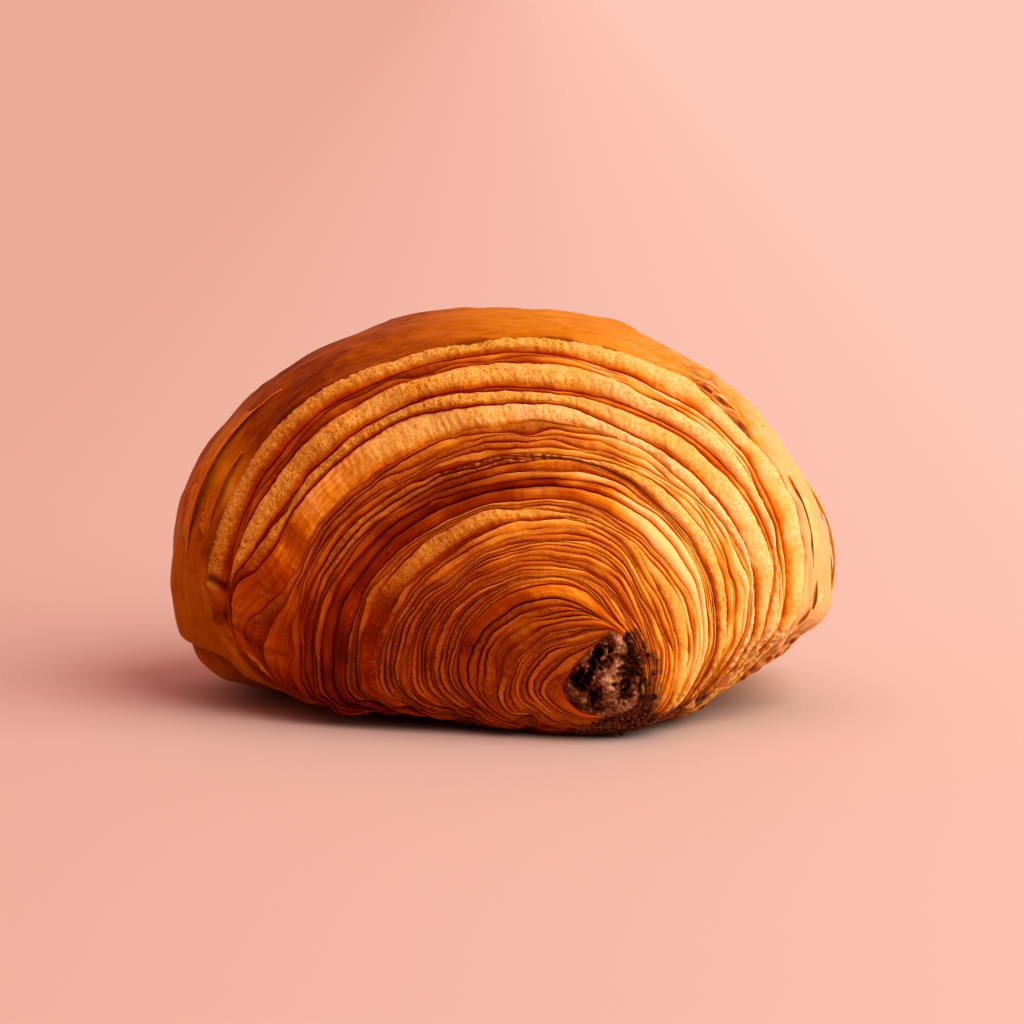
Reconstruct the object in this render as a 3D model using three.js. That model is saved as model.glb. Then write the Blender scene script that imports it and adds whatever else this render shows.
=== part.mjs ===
// Pain au chocolat: one rectangle of laminated dough rolled round a baton of chocolate, proofed
// and baked on a flat tray. X runs across the roll, Y along it from the front end to the back
// end, and Z up from the tray. Millimetres. The origin is the middle of the footprint.
//
// Every ring of dough is an egg-shaped loop round the filling. It passes through four points,
// named left, crown, right and foot. The rings go from the mouth of the filling, out over the
// coiled layers of one end, along the crust, in over the other end, and back through the roll.
import * as THREE from "three";

// Driving dimensions.
const ROLL_WIDTH = 106; // widest, across the roll
const ROLL_LENGTH = 88; // from one coiled end to the other
const ROLL_HEIGHT = 62; // tray to crown
const BATON_GAP = 0.3; // clearance between the filling and the dough

// Counts that set how fine the solids are.
const QUARTER_STEPS = 14; // points along each quarter of a ring
const FILLING_QUARTER_STEPS = 6;

// The turns of the roll, drawn to the sizes above. Each point is [x, y, z]. Roundness is the
// power of the oval that joins two neighbouring points: 2 is an ellipse, and more is squarer.
const MOUTH = {
  left: [9.7, -42, 8.7],
  crown: [17.3, -43.5, 17.5],
  right: [21.6, -43, 10.2],
  foot: [15.4, -42, 4.2],
  roundness: [2, 1.5, 1.8, 2.2],
};
const COIL = {
  left: [-6.3, -37, 10.6],
  crown: [8.2, -41, 23.9],
  right: [24.9, -41, 10.2],
  foot: [13.9, -38.5, 0.6],
  roundness: [3.2, 2, 2, 2.3],
};
const SECOND_TURN = {
  left: [-27.4, -29, 11.2],
  crown: [7.1, -34, 38.3],
  right: [31.9, -34, 15.8],
  foot: [9.4, -33, -0.7],
  roundness: [4.2, 2, 2.1, 2.4],
};
const RIM = {
  left: [-43.4, -20, 20.5],
  crown: [2.5, -23, 60.1],
  right: [47.1, -21, 20.8],
  foot: [4.8, -24, -1.0],
  roundness: [2.7, 2.05, 2.1, 2.5],
};
const FRONT_BELLY = {
  left: [-52.6, -8, 21.8],
  crown: [0.2, -8, 61.7],
  right: [52.4, -8, 18.6],
  foot: [3.6, -8, -1.2],
  roundness: [3.4, 2, 2, 2.9],
};
const BACK_BELLY = {
  left: [-53.0, 9, 21.2],
  crown: [-0.8, 10, 61.4],
  right: [52.2, 9, 18.4],
  foot: [3.2, 8, -1.2],
  roundness: [3.4, 2, 2, 2.9],
};
const FRONT_END = [MOUTH, COIL, SECOND_TURN, RIM];

// In the oven the foot of the front end rose a little off the tray, left of the middle, and the
// lower right flank curled up from it along the whole roll.
const FOOT_RISE = { height: 2.8, at: -12, reach: 15 };
const CORNER_RISE = { height: 4.8, from: 26, to: 48 };

// The bands of layers that show at an end, from the filling outwards. Share is the part of its
// turn that the band takes, and lift is how far it stands proud of the grooves beside it. At
// the knot, low on the left, the outer ridges pinch together and one leaf swells into a toe.
const band = (turn, share, lift, knotShare = share) => ({ turn, share, lift, knotShare });
const FRONT_BANDS = [
  band("coil", 0.14, 0.5), // lip round the filling
  band("coil", 0.22, 0.7), // fine leaves
  band("coil", 0.22, 0.8),
  band("coil", 0.24, 0.8),
  band("coil", 0.18, 1.3), // skin of the first turn
  band("second turn", 0.2, 0.9), // fine leaves
  band("second turn", 0.22, 1.0),
  band("second turn", 0.22, 1.0),
  band("second turn", 0.14, 1.2), // pale puffed leaf
  band("second turn", 0.22, 1.8), // skin of the second turn
  band("outer turn", 0.13, 0.8, 0.08), // brown step
  band("outer turn", 0.09, 0.9, 0.08), // toasted line
  band("outer turn", 0.12, 1.0, 0.12), // thin leaves
  band("outer turn", 0.16, 1.8, 0.46), // puffed ridge, with the toe
  band("outer turn", 0.09, 1.0, 0.05), // thin ridge
  band("outer turn", 0.18, 2.1, 0.1), // puffed ridge
  band("outer turn", 0.1, 0.9, 0.05), // smooth leaf
  band("outer turn", 0.13, 1.8, 0.06), // outermost puffed ridge
];
const BACK_BANDS = [
  band("coil", 0.2, 0.6),
  band("coil", 0.4, 0.9),
  band("coil", 0.4, 1.3),
  band("second turn", 0.35, 1.0),
  band("second turn", 0.4, 1.2),
  band("second turn", 0.25, 1.8),
  band("outer turn", 0.15, 0.9, 0.1),
  band("outer turn", 0.14, 1.1, 0.15),
  band("outer turn", 0.23, 1.9, 0.45),
  band("outer turn", 0.14, 1.1, 0.08),
  band("outer turn", 0.2, 2.0, 0.12),
  band("outer turn", 0.14, 1.6, 0.1),
];
const KNOT = { round: 0.93, reach: 0.42 }; // its place round the ring, and how far it pulls
// Where along its width a band has a ring of points, and how much of its lift each one has.
const BAND_PROFILE = [
  { along: 0, rise: -0.35 },
  { along: 0.26, rise: 0.85 },
  { along: 0.72, rise: 1 },
];
const STEEPEST_BAND = 0.42; // a band never stands higher than this share of its own width
const BAND_WANDER = 0.2; // how far a band's width strays from its share
const CRUST_STEPS = [0, 0.2, 0.45, 0.72, 1]; // rings of plain crust, from a rim to a belly
const CRUST_BUMP = 0.45; // height of the broad swells in the crust
const TRAY_FADE = 5; // relief dies away over this height above the tray

// The back end mirrors the front, with its turns sitting a little differently.
const mirrored = (ring, lean, drop) => {
  const turnedBack = (p) => [p[0] + lean, -p[1], p[2] - drop];
  return {
    left: turnedBack(ring.left),
    crown: turnedBack(ring.crown),
    right: turnedBack(ring.right),
    foot: [ring.foot[0] + lean, -ring.foot[1], ring.foot[2]],
    roundness: ring.roundness,
  };
};
const BACK_END = [mirrored(RIM, -0.6, 0.8), mirrored(SECOND_TURN, -1.2, 0.6)]
  .concat([mirrored(COIL, -0.8, 0.2), mirrored(MOUTH, 0, 0)]);
const STATIONS = [...FRONT_END, FRONT_BELLY, BACK_BELLY, ...BACK_END];
const RIM_STATION = FRONT_END.indexOf(RIM);
const LAST_STATION = STATIONS.length - 1;

// A curve through values at whole stations that never overshoots them.
function easedThrough(values) {
  const rises = values.slice(1).map((value, i) => value - values[i]);
  const slopes = values.map((_, i) => {
    const before = rises[Math.max(i - 1, 0)];
    const after = rises[Math.min(i, rises.length - 1)];
    return before * after > 0 ? (2 * before * after) / (before + after) : 0;
  });
  return (station) => {
    const i = Math.min(Math.floor(station), rises.length - 1);
    const t = station - i;
    const rise = rises[i];
    const curve = slopes[i] + slopes[i + 1] - 2 * rise;
    const bend = 3 * rise - 2 * slopes[i] - slopes[i + 1];
    return values[i] + t * (slopes[i] + t * (bend + t * curve));
  };
}

const CORNERS = ["foot", "left", "crown", "right"];
const cornerCurves = CORNERS.map((corner) =>
  [0, 1, 2].map((axis) => easedThrough(STATIONS.map((ring) => ring[corner][axis]))));
const roundnessCurves = CORNERS.map((_, quarter) =>
  easedThrough(STATIONS.map((ring) => ring.roundness[quarter])));

// How far a low point of the roll stands off the tray. It dies away up the flanks.
function riseAt(x, y, z) {
  const { smoothstep } = THREE.MathUtils;
  const foot = FOOT_RISE.height * Math.exp(-(((x - FOOT_RISE.at) / FOOT_RISE.reach) ** 2));
  const corner = CORNER_RISE.height * smoothstep(x, CORNER_RISE.from, CORNER_RISE.to);
  return foot * (1 - smoothstep(z, 2, 14)) * (1 - smoothstep(y, -16, -4))
    + corner * (1 - smoothstep(z, 5, 20));
}

// The point of the smooth roll at a station, and round the ring: 0 is the foot, 1 the left
// flank, 2 the crown, 3 the right flank and 4 the foot again.
function smoothPoint(station, round) {
  const quarter = Math.floor(round) % 4;
  const angle = ((round - Math.floor(round)) * Math.PI) / 2;
  const power = roundnessCurves[quarter](station);
  const from = cornerCurves[quarter].map((curve) => curve(station));
  const to = cornerCurves[(quarter + 1) % 4].map((curve) => curve(station));
  const oval = (Math.cos(angle) ** power + Math.sin(angle) ** power) ** (-1 / power);
  const leaving = Math.cos(angle) * oval;
  const arriving = Math.sin(angle) * oval;
  const startsAtCap = quarter % 2 === 0; // the foot and the crown are caps, the flanks sides
  const [cap, side] = startsAtCap ? [from, to] : [to, from];
  const [capShare, sideShare] = startsAtCap ? [leaving, arriving] : [arriving, leaving];
  const blend = Math.sin(angle) ** 2;
  const x = cap[0] + (side[0] - cap[0]) * sideShare;
  const y = from[1] * (1 - blend) + to[1] * blend;
  const z = side[2] + (cap[2] - side[2]) * capShare;
  return new THREE.Vector3(x, y, z + riseAt(x, y, z));
}

function outward(station, round) {
  const step = 0.02;
  const before = Math.max(station - step, 0);
  const after = Math.min(station + step, LAST_STATION);
  const along = smoothPoint(after, round).sub(smoothPoint(before, round));
  const across = smoothPoint(station, (round + step) % 4)
    .sub(smoothPoint(station, (round - step + 4) % 4));
  return across.cross(along).normalize();
}

// A smooth uneven wave round a ring. Each seed gives another wave.
function wander(round, seed) {
  const turn = (round * Math.PI) / 2;
  const phase = seed * 2.4;
  const slow = Math.sin(turn * 2 + phase) + 0.7 * Math.sin(turn * 3 - phase * 1.7);
  return (slow + 0.5 * Math.sin(turn * 7 + phase * 2.9)) / 2.2;
}

// Stations where each band starts at one place round the ring, from the mouth to the rim.
function bandEdges(bands, round) {
  const turns = ["coil", "second turn", "outer turn"];
  const edges = [0];
  const pull = Math.exp(-(((round - KNOT.round) / KNOT.reach) ** 2));
  turns.forEach((turn, order) => {
    const widths = bands.map((b, i) => (b.turn === turn
      ? THREE.MathUtils.lerp(b.share, b.knotShare, pull) * (1 + BAND_WANDER * wander(round, i))
      : 0));
    const total = widths.reduce((sum, width) => sum + width, 0);
    let reached = order;
    widths.forEach((width) => {
      if (width > 0) {
        reached += width / total;
        edges.push(reached);
      }
    });
  });
  return edges;
}

// Lifts a point of the smooth roll along its outward direction. The underside stays flat.
function raised(station, round, lift) {
  const point = smoothPoint(station, round);
  const fade = THREE.MathUtils.smoothstep(point.z, 0, TRAY_FADE);
  point.addScaledVector(outward(station, round), lift * fade);
  point.z = Math.max(point.z, 0);
  return point;
}

// One column of points from a mouth of the filling to the rim of that end.
function endColumn(bands, round, toStation) {
  const edges = bandEdges(bands, round);
  return bands.flatMap((b, i) => {
    const start = smoothPoint(toStation(edges[i]), round);
    const width = start.distanceTo(smoothPoint(toStation(edges[i + 1]), round));
    const lift = Math.min(b.lift, width * STEEPEST_BAND);
    return BAND_PROFILE.map(({ along, rise }) => {
      const station = toStation(THREE.MathUtils.lerp(edges[i], edges[i + 1], along));
      return raised(station, round, station === toStation(0) ? 0 : lift * rise);
    });
  });
}

function crustColumn(round) {
  const front = CRUST_STEPS.map((step) => RIM_STATION + step);
  const back = front.map((station) => LAST_STATION - station).reverse();
  return [...front, (front.at(-1) + back[0]) / 2, ...back].map((station) =>
    raised(station, round, CRUST_BUMP * wander(round, station)));
}

// The dough, from the front mouth over both ends to the back mouth.
function doughColumn(round) {
  const front = endColumn(FRONT_BANDS, round, (station) => station);
  const back = endColumn(BACK_BANDS, round, (station) => LAST_STATION - station).reverse();
  return [...front, ...crustColumn(round), ...back];
}

// Joins columns of points into a surface that closes round the ring. Where the columns close
// on themselves too, the surface is a tube with a hole through it, and otherwise it has poles.
function closedSurface(columns, closesAlong) {
  const rows = columns[0].length;
  const points = columns.flat();
  const faces = [];
  const at = (column, row) => (column % columns.length) * rows + (row % rows);
  columns.forEach((_, column) => {
    for (let row = 0; row < (closesAlong ? rows : rows - 1); row += 1) {
      faces.push(at(column, row), at(column + 1, row), at(column, row + 1));
      faces.push(at(column + 1, row), at(column + 1, row + 1), at(column, row + 1));
    }
  });
  if (!closesAlong) {
    [0, rows - 1].forEach((row) => {
      const pole = points.length;
      const rim = columns.map((_, column) => points[at(column, row)]);
      const middle = rim.reduce((sum, p) => sum.add(p), new THREE.Vector3());
      points.push(middle.divideScalar(rim.length));
      columns.forEach((_, column) => {
        const pair = [at(column + 1, row), at(column, row)];
        faces.push(pole, ...(row === 0 ? pair : pair.reverse()));
      });
    });
  }
  const geometry = new THREE.BufferGeometry().setFromPoints(points);
  geometry.setIndex(faces);
  geometry.computeVertexNormals();
  return geometry;
}

const ringPlaces = (quarterSteps) =>
  Array.from({ length: quarterSteps * 4 }, (_, i) => i / quarterSteps);

const dough = new THREE.Mesh(
  closedSurface(ringPlaces(QUARTER_STEPS).map(doughColumn), true),
  new THREE.MeshStandardMaterial({ color: "#c4731c", roughness: 0.45, metalness: 0 }),
);
dough.name = "laminated_dough";

// The melted and set baton: the mouth's own outline, drawn in by the clearance. Its broken ends
// swell a little, and stay inside the roll.
const FILLING_END = -MOUTH.crown[1] - 2.6; // from the middle to the rim of a broken end
const BREAK_LUMP = 0.7; // height of the lumps on its ends
const BREAK_RINGS = [0.35, 0.7, 1]; // rings of an end, as shares of its outline
const END_BULGE = 1.1; // how far the middle of an end stands out
const LONG_RINGS = [-0.5, 0, 0.5]; // rings between the ends, as shares of the half length

// The sides of the mouth slant, so the filling is drawn in by more than the clearance.
const DRAW_IN = BATON_GAP * 1.5;

function fillingSection(round, share, y) {
  const edge = smoothPoint(0, round);
  const centre = new THREE.Vector3(MOUTH.foot[0], edge.y, (MOUTH.foot[2] + MOUTH.crown[2]) / 2);
  const reach = edge.clone().sub(centre);
  const drawnIn = reach.clone().setLength((reach.length() - DRAW_IN) * share);
  return centre.add(drawnIn).setY(y);
}

function fillingColumn(round) {
  const endOf = (way) => BREAK_RINGS.map((share, i) => {
    const lump = BREAK_LUMP * wander(round, i) * (1 - share);
    return fillingSection(round, share, way * (FILLING_END + END_BULGE * (1 - share * share) + lump));
  });
  const body = LONG_RINGS.map((place) => fillingSection(round, 1, place * FILLING_END));
  return [...endOf(-1), ...body, ...endOf(1).reverse()];
}

const filling = new THREE.Mesh(
  closedSurface(ringPlaces(FILLING_QUARTER_STEPS).map(fillingColumn), false),
  new THREE.MeshStandardMaterial({ color: "#4a2415", roughness: 0.7, metalness: 0 }),
);
filling.name = "chocolate_filling";

// Brings the roll to its driving sizes, centred on its footprint.
const roll = new THREE.Group();
roll.add(dough, filling);
const drawn = new THREE.Box3().setFromObject(dough);
const size = drawn.getSize(new THREE.Vector3());
const footprint = drawn.getCenter(new THREE.Vector3()).setZ(drawn.min.z);
roll.scale.set(ROLL_WIDTH / size.x, ROLL_LENGTH / size.y, ROLL_HEIGHT / size.z);
roll.position.copy(footprint).negate().multiply(roll.scale);

export default roll;
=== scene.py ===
# %% [markdown]
# # A pain au chocolat, built leaf by leaf round its CAD frame
#
# The real pastry is one rectangle of laminated dough, a stack of thin leaves of dough parted by
# butter, rolled round a baton of chocolate. In the oven the butter's steam pushes the leaves
# apart, so each coiled end shows dozens of curved edges, and the outside is one smooth skin that
# was brushed with egg. The frame holds the same roll as a plain solid. This lesson puts the
# leaves, the skin, the chocolate and the loose flakes over it.

# %% Load the frame
import math
import random

import bmesh
import bpy
import numpy as np
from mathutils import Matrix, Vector, noise


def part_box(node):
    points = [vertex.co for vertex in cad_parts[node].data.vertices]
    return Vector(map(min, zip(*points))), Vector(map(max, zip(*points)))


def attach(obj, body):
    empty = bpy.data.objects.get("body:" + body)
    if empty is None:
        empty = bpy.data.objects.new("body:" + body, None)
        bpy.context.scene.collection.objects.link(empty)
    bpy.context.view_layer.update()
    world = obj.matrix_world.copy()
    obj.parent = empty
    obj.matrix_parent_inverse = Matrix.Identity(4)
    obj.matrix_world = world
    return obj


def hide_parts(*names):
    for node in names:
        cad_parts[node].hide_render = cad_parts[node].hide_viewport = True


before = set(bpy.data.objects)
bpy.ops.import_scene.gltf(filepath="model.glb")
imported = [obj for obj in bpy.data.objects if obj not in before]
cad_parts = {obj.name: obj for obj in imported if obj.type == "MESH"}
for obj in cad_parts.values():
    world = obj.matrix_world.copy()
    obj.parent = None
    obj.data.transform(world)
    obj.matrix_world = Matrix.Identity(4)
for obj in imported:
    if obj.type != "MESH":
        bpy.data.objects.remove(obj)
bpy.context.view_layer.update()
DOUGH_LOW, DOUGH_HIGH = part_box("laminated_dough")
MM = 0.001  # metres in a millimetre

# %% [markdown]
# ## The camera
#
# The picture was taken with a long lens from just above table height, square to one coiled end.
# A long lens keeps the rings from bulging, so the camera stands well back and the focal length
# makes up for it.

# %% Camera
CAMERA_DISTANCE = 0.700
CAMERA_TILT = math.radians(8)
CAMERA_AIM = Vector((0.002, 0.0, 0.0295))
FOCAL_LENGTH = 153  # mm, on a sensor 36 mm wide

camera_data = bpy.data.cameras.new("camera")
camera_data.lens = FOCAL_LENGTH
camera = bpy.data.objects.new("camera", camera_data)
bpy.context.scene.collection.objects.link(camera)
looking = Vector((0, math.cos(CAMERA_TILT), -math.sin(CAMERA_TILT)))
camera.location = CAMERA_AIM - looking * CAMERA_DISTANCE
camera.rotation_euler = looking.to_track_quat("-Z", "Y").to_euler()
bpy.context.scene.camera = camera
print("camera stands back, in mm:", round(CAMERA_DISTANCE / MM))

# %% [markdown]
# ## The shape of the roll
#
# A loaf of rings is easier to control than a sculpted lump. Each ring is an egg-shaped loop that
# passes through four points, the foot, the left flank, the crown and the right flank, and
# neighbouring points are joined by a quarter of a squarish oval. The rings below are nearly those
# of the frame's solid, in millimetres. A station says how far a point is from the mouth of the
# filling, and a place round the ring runs from 0 at the foot to 4 at the foot again.

# %% Rings
MOUTH = {
    "left": (9.7, -42, 8.7),
    "crown": (17.3, -43.5, 17.5),
    "right": (21.6, -43, 10.2),
    "foot": (15.4, -42, 4.2),
    "roundness": (2, 1.2, 1.6, 2.2),
}
COIL = {
    "left": (-6.3, -37, 10.6),
    "crown": (8.2, -41, 23.9),
    "right": (24.9, -41, 10.2),
    "foot": (13.9, -38.5, 0.6),
    "roundness": (3.2, 2, 2, 2.3),
}
SECOND_TURN = {
    "left": (-27.4, -29, 11.2),
    "crown": (7.1, -34, 38.3),
    "right": (31.9, -34, 15.8),
    "foot": (9.4, -33, -0.7),
    "roundness": (4.2, 2, 2.1, 2.4),
}
RIM = {
    "left": (-43.4, -20, 20.5),
    "crown": (2.5, -23, 60.1),
    "right": (47.1, -21, 20.8),
    "foot": (4.8, -24, -1.0),
    "roundness": (2.7, 2.05, 2.1, 2.5),
}
FRONT_BELLY = {
    "left": (-52.6, -8, 21.8),
    "crown": (0.2, -8, 61.7),
    "right": (52.4, -8, 18.6),
    "foot": (3.6, -8, -1.2),
    "roundness": (3.4, 2, 2, 2.9),
}
BACK_BELLY = {
    "left": (-53.0, 9, 21.2),
    "crown": (-0.8, 10, 61.4),
    "right": (52.2, 9, 18.4),
    "foot": (3.2, 8, -1.2),
    "roundness": (3.4, 2, 2, 2.9),
}
CORNERS = ("foot", "left", "crown", "right")


def mirrored(ring, lean, drop):
    """The ring that stands in the same place at the back end, moved over a little."""
    back = {"roundness": ring["roundness"]}
    for corner in CORNERS:
        x, y, z = ring[corner]
        back[corner] = (x + lean, -y, z if corner == "foot" else z - drop)
    return back


FRONT_END = [MOUTH, COIL, SECOND_TURN, RIM]
BACK_END = [mirrored(RIM, -0.6, 0.8), mirrored(SECOND_TURN, -1.2, 0.6)]
BACK_END += [mirrored(COIL, -0.8, 0.2), mirrored(MOUTH, 0, 0)]
STATIONS = FRONT_END + [FRONT_BELLY, BACK_BELLY] + BACK_END
RIM_STATION = FRONT_END.index(RIM)
LAST_STATION = len(STATIONS) - 1
print("stations from the front mouth to the back mouth:", len(STATIONS))

# %% [markdown]
# A curve through the stations must not overshoot, or the dough would bulge between two rings.
# Giving each station the harmonic mean of the slopes beside it keeps the curve inside its points.

# %% Curves through the stations


def eased_through(values):
    """A curve through values at whole stations that never overshoots them."""
    values = np.array(values, dtype=float)
    rises = np.diff(values)
    before = np.append(rises[:1], rises)
    after = np.append(rises, rises[-1:])
    same_way = before * after > 0
    total = np.where(same_way, before + after, 1.0)
    slopes = np.where(same_way, 2 * before * after / total, 0.0)

    def curve(station):
        i = np.clip(np.floor(station).astype(int), 0, len(rises) - 1)
        t = station - i
        cubic = slopes[i] + slopes[i + 1] - 2 * rises[i]
        square = 3 * rises[i] - 2 * slopes[i] - slopes[i + 1]
        return values[i] + t * (slopes[i] + t * (square + t * cubic))

    return curve


CORNER_CURVES = [
    [eased_through([ring[corner][axis] for ring in STATIONS]) for axis in range(3)] for corner in CORNERS
]
ROUNDNESS_CURVES = [eased_through([ring["roundness"][q] for ring in STATIONS]) for q in range(4)]
print("corners with a curve each:", len(CORNER_CURVES))

# %% A point anywhere on the smooth roll
FOOT_RISE, RISE_AT, RISE_REACH = 2.8, -12.0, 15.0  # mm the front foot stands off the tray, where, how wide
RISE_UP, RISE_ALONG = (14, 2), (-4, -16)  # mm over which that comes in
CORNER_RISE = 4.8  # mm by which the roll curls up from the tray low on the right
CURL_ACROSS, CURL_UP = (26, 48), (20, 5)  # mm over which it curls


def smoothstep(low, high, value):
    t = np.clip((value - low) / (high - low), 0, 1)
    return t * t * (3 - 2 * t)


def smooth_point(station, around):
    """Points of the smooth roll, in mm, for arrays of stations and places round the ring."""
    station, around = np.broadcast_arrays(station, around)
    quarter = np.floor(around).astype(int) % 4
    angle = (around - np.floor(around)) * math.pi / 2
    corners = np.array([[curve(station) for curve in curves] for curves in CORNER_CURVES])
    power = np.choose(quarter, [curve(station) for curve in ROUNDNESS_CURVES])
    start = np.array([np.choose(quarter, corners[:, axis]) for axis in range(3)])
    end = np.array([np.choose((quarter + 1) % 4, corners[:, axis]) for axis in range(3)])
    oval = (np.cos(angle) ** power + np.sin(angle) ** power) ** (-1 / power)
    leaving, arriving = np.cos(angle) * oval, np.sin(angle) * oval
    starts_at_cap = quarter % 2 == 0
    cap, side = np.where(starts_at_cap, start, end), np.where(starts_at_cap, end, start)
    cap_share = np.where(starts_at_cap, leaving, arriving)
    side_share = np.where(starts_at_cap, arriving, leaving)
    blend = np.sin(angle) ** 2
    x = cap[0] + (side[0] - cap[0]) * side_share
    y = start[1] * (1 - blend) + end[1] * blend
    z = side[2] + (cap[2] - side[2]) * cap_share
    off_tray = FOOT_RISE * np.exp(-(((x - RISE_AT) / RISE_REACH) ** 2))
    corner = CORNER_RISE * smoothstep(*CURL_ACROSS, x) * smoothstep(*CURL_UP, z)
    z = z + off_tray * smoothstep(*RISE_UP, z) * smoothstep(*RISE_ALONG, y) + corner
    return np.stack([x, y, z], axis=-1)


# %% Which way is out
SLOPE_STEP = 0.02  # of a station or of a quarter ring, over which a slope is taken


def unit(vectors):
    return vectors / np.maximum(np.linalg.norm(vectors, axis=-1, keepdims=True), 1e-9)


def surface_frame(station, around):
    """(the way straight out, the way along the stations) at each point of the smooth roll."""
    before = np.maximum(station - SLOPE_STEP, 0)
    after = np.minimum(station + SLOPE_STEP, LAST_STATION)
    along = smooth_point(after, around) - smooth_point(before, around)
    ahead, behind = (around + SLOPE_STEP) % 4, (around - SLOPE_STEP) % 4
    across = smooth_point(station, ahead) - smooth_point(station, behind)
    return unit(np.cross(across, along)), unit(along)


# %% [markdown]
# ## Unevenness
#
# Nothing baked is even. Perlin noise read at each point gives swells of a chosen size, and since
# the point comes round to itself, so does the noise. It holds no random draw, so each run is alike.

# %% Unevenness
SEED_STEP = 17.3  # lumps from the noise of one seed to that of the next
FULL_SWING = 1.6  # brings Perlin noise to about -1 to 1


def lumps(points, size, seed=0):
    """Perlin noise at points in mm, about -1 to 1, with lumps of the given size in mm."""
    flat = points.reshape(-1, 3) / size + seed * SEED_STEP
    return np.array([noise.noise(p) for p in flat.tolist()]).reshape(points.shape[:-1]) * FULL_SWING


def layered(points, layers, seed=0, start=0.0):
    """Lumps of several sizes added to a start. A layer is (weight, size in mm, its own seed)."""
    return sum((weight * lumps(points, size, seed + own) for weight, size, own in layers), start)


# %% Marks along routes


def near_route(points, route):
    """How far each point is from a route of (x, z) stops, seen from the front, in mm."""
    seen = points[..., [0, 2]]
    nearest = np.full(seen.shape[:-1], 1e9)
    for start, end in zip(np.array(route[:-1], float), np.array(route[1:], float)):
        step = end - start
        share = np.clip(((seen - start) @ step) / (step @ step), 0, 1)
        nearest = np.minimum(nearest, np.linalg.norm(seen - start - share[..., None] * step, axis=-1))
    return nearest


def hump(distance, reach):
    """1 at no distance, falling smoothly to nothing past the reach."""
    return np.exp(-((distance / reach) ** 2))


def mark(points, route, strength, reach):
    """How strongly a route marks each point, fading past its reach in mm."""
    return strength * hump(near_route(points, route), reach)


# %% [markdown]
# ## The leaves of a coiled end
#
# A band is a group of leaves that bake alike: the fine pages by the filling, the egg-washed skin
# that ends a turn, and the thick ridges of puffed dough near the rim. Bands narrow, widen and pinch
# out as they go round, so equal shares of a turn look machined. Here each band ends at a drawn line,
# as a baker might sketch the swirl: a few stops of (place round the ring, station).

# %% Kinds of leaf
# rows: points across one leaf. square: how boxy its section is. peak: where across it is highest.
# groove: the gap at its inner side, in mm. crumb, gloss and toast: how crumbly, how shiny and how
# dark it baked, from 0 to 1. Painted shade is added to the toast later, low on the left.
KIND_VALUES = ("rows", "square", "peak", "groove", "crumb", "gloss", "toast")
KINDS = {
    "lip": (5, 2.2, 0.55, 0.3, 0.2, 0.5, 0.0),
    "fine": (4, 2.1, 0.65, 0.2, 0.25, 0.5, 0.0),
    "thin": (5, 2.1, 0.65, 0.2, 0.3, 0.45, 0.0),
    "pale": (9, 2.2, 0.55, 0.25, 0.8, 0.3, 0.0),
    "skin": (11, 2.3, 0.5, 0.5, 0.0, 0.9, 0.25),
    "smooth": (6, 2.2, 0.55, 0.2, 0.15, 0.7, 0.1),
    "step": (9, 2.2, 0.45, 0.9, 0.0, 0.9, 0.5),
    "crumbly": (6, 2.0, 0.6, 0.3, 0.6, 0.2, 0.35),
    "deep": (4, 2.0, 0.5, 0.3, 0.0, 0.6, 0.0),
    "ridge": (14, 2.5, 0.6, 0.27, 1.0, 0.3, 0.0),
}
KINDS = {name: dict(zip(KIND_VALUES, values)) for name, values in KINDS.items()}
print("kinds of leaf:", ", ".join(KINDS))


def band(kind, leaves, lift, ends, bare=0, paler=0):
    """Leaves of a kind, a lift in mm proud, as far as the line of stops where they end.

    They have no crumb before the bare place round the ring, and paler lightens their colour.
    """
    return {"kind": kind, "leaves": leaves, "lift": lift, "ends": ends, "bare": bare, "paler": paler}


# %% Lines round the front mouth and the coil
MOUTH_EDGE = [(0, 0)]
HOOK = [(0, 0.12), (0.6, 0.17), (0.8, 0.19), (1.0, 0.13), (1.2, 0.02), (1.4, 0), (3.3, 0), (3.7, 0.1)]
LOW_FAN = [(0, 0.36), (0.8, 0.38), (1.0, 0.34), (1.2, 0.3), (1.4, 0.24), (1.6, 0.13), (1.8, 0.02), (2.0, 0)]
LOW_FAN += [(3.3, 0), (3.6, 0.25)]
FAN = [(0, 0.6), (0.5, 0.72), (0.8, 0.58), (1.0, 0.5), (1.3, 0.45), (1.6, 0.38), (1.8, 0.28), (1.95, 0.14)]
FAN += [(2.1, 0), (3.2, 0), (3.5, 0.35)]
UNDER_COIL_SKIN = [(0, 0.85), (0.8, 0.92), (1.2, 0.9), (1.5, 0.85), (1.8, 0.82), (2.0, 0.78), (2.1, 0.64)]
UNDER_COIL_SKIN += [(2.17, 0.35), (2.25, 0.02), (2.4, 0), (3.1, 0), (3.4, 0.35)]
COIL_SKIN = [(0, 0.95), (0.5, 0.97), (1, 1), (1.9, 1.02), (2.1, 1.03), (2.2, 0.98), (2.28, 0.82)]
COIL_SKIN += [(2.35, 0.45), (2.42, 0.08), (2.6, 0), (3.0, 0), (3.3, 0.35), (3.6, 0.8)]
TIP_LEAVES = [(0, 1.15), (0.5, 1.2), (2.0, 1.19), (2.2, 1.16), (2.3, 1.1), (2.4, 0.95), (2.5, 0.72)]
TIP_LEAVES += [(2.65, 0.42), (2.8, 0.2), (3.0, 0.12), (3.2, 0.3), (3.5, 0.9)]
PAGES = [(0, 1.38), (0.5, 1.42), (1.0, 1.355), (1.5, 1.36), (1.8, 1.45), (2.0, 1.47), (2.2, 1.47)]
PAGES += [(2.3, 1.43), (2.4, 1.35), (2.5, 1.2), (2.7, 0.95), (2.9, 0.75), (3.1, 0.6), (3.3, 0.7), (3.6, 1.15)]
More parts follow.
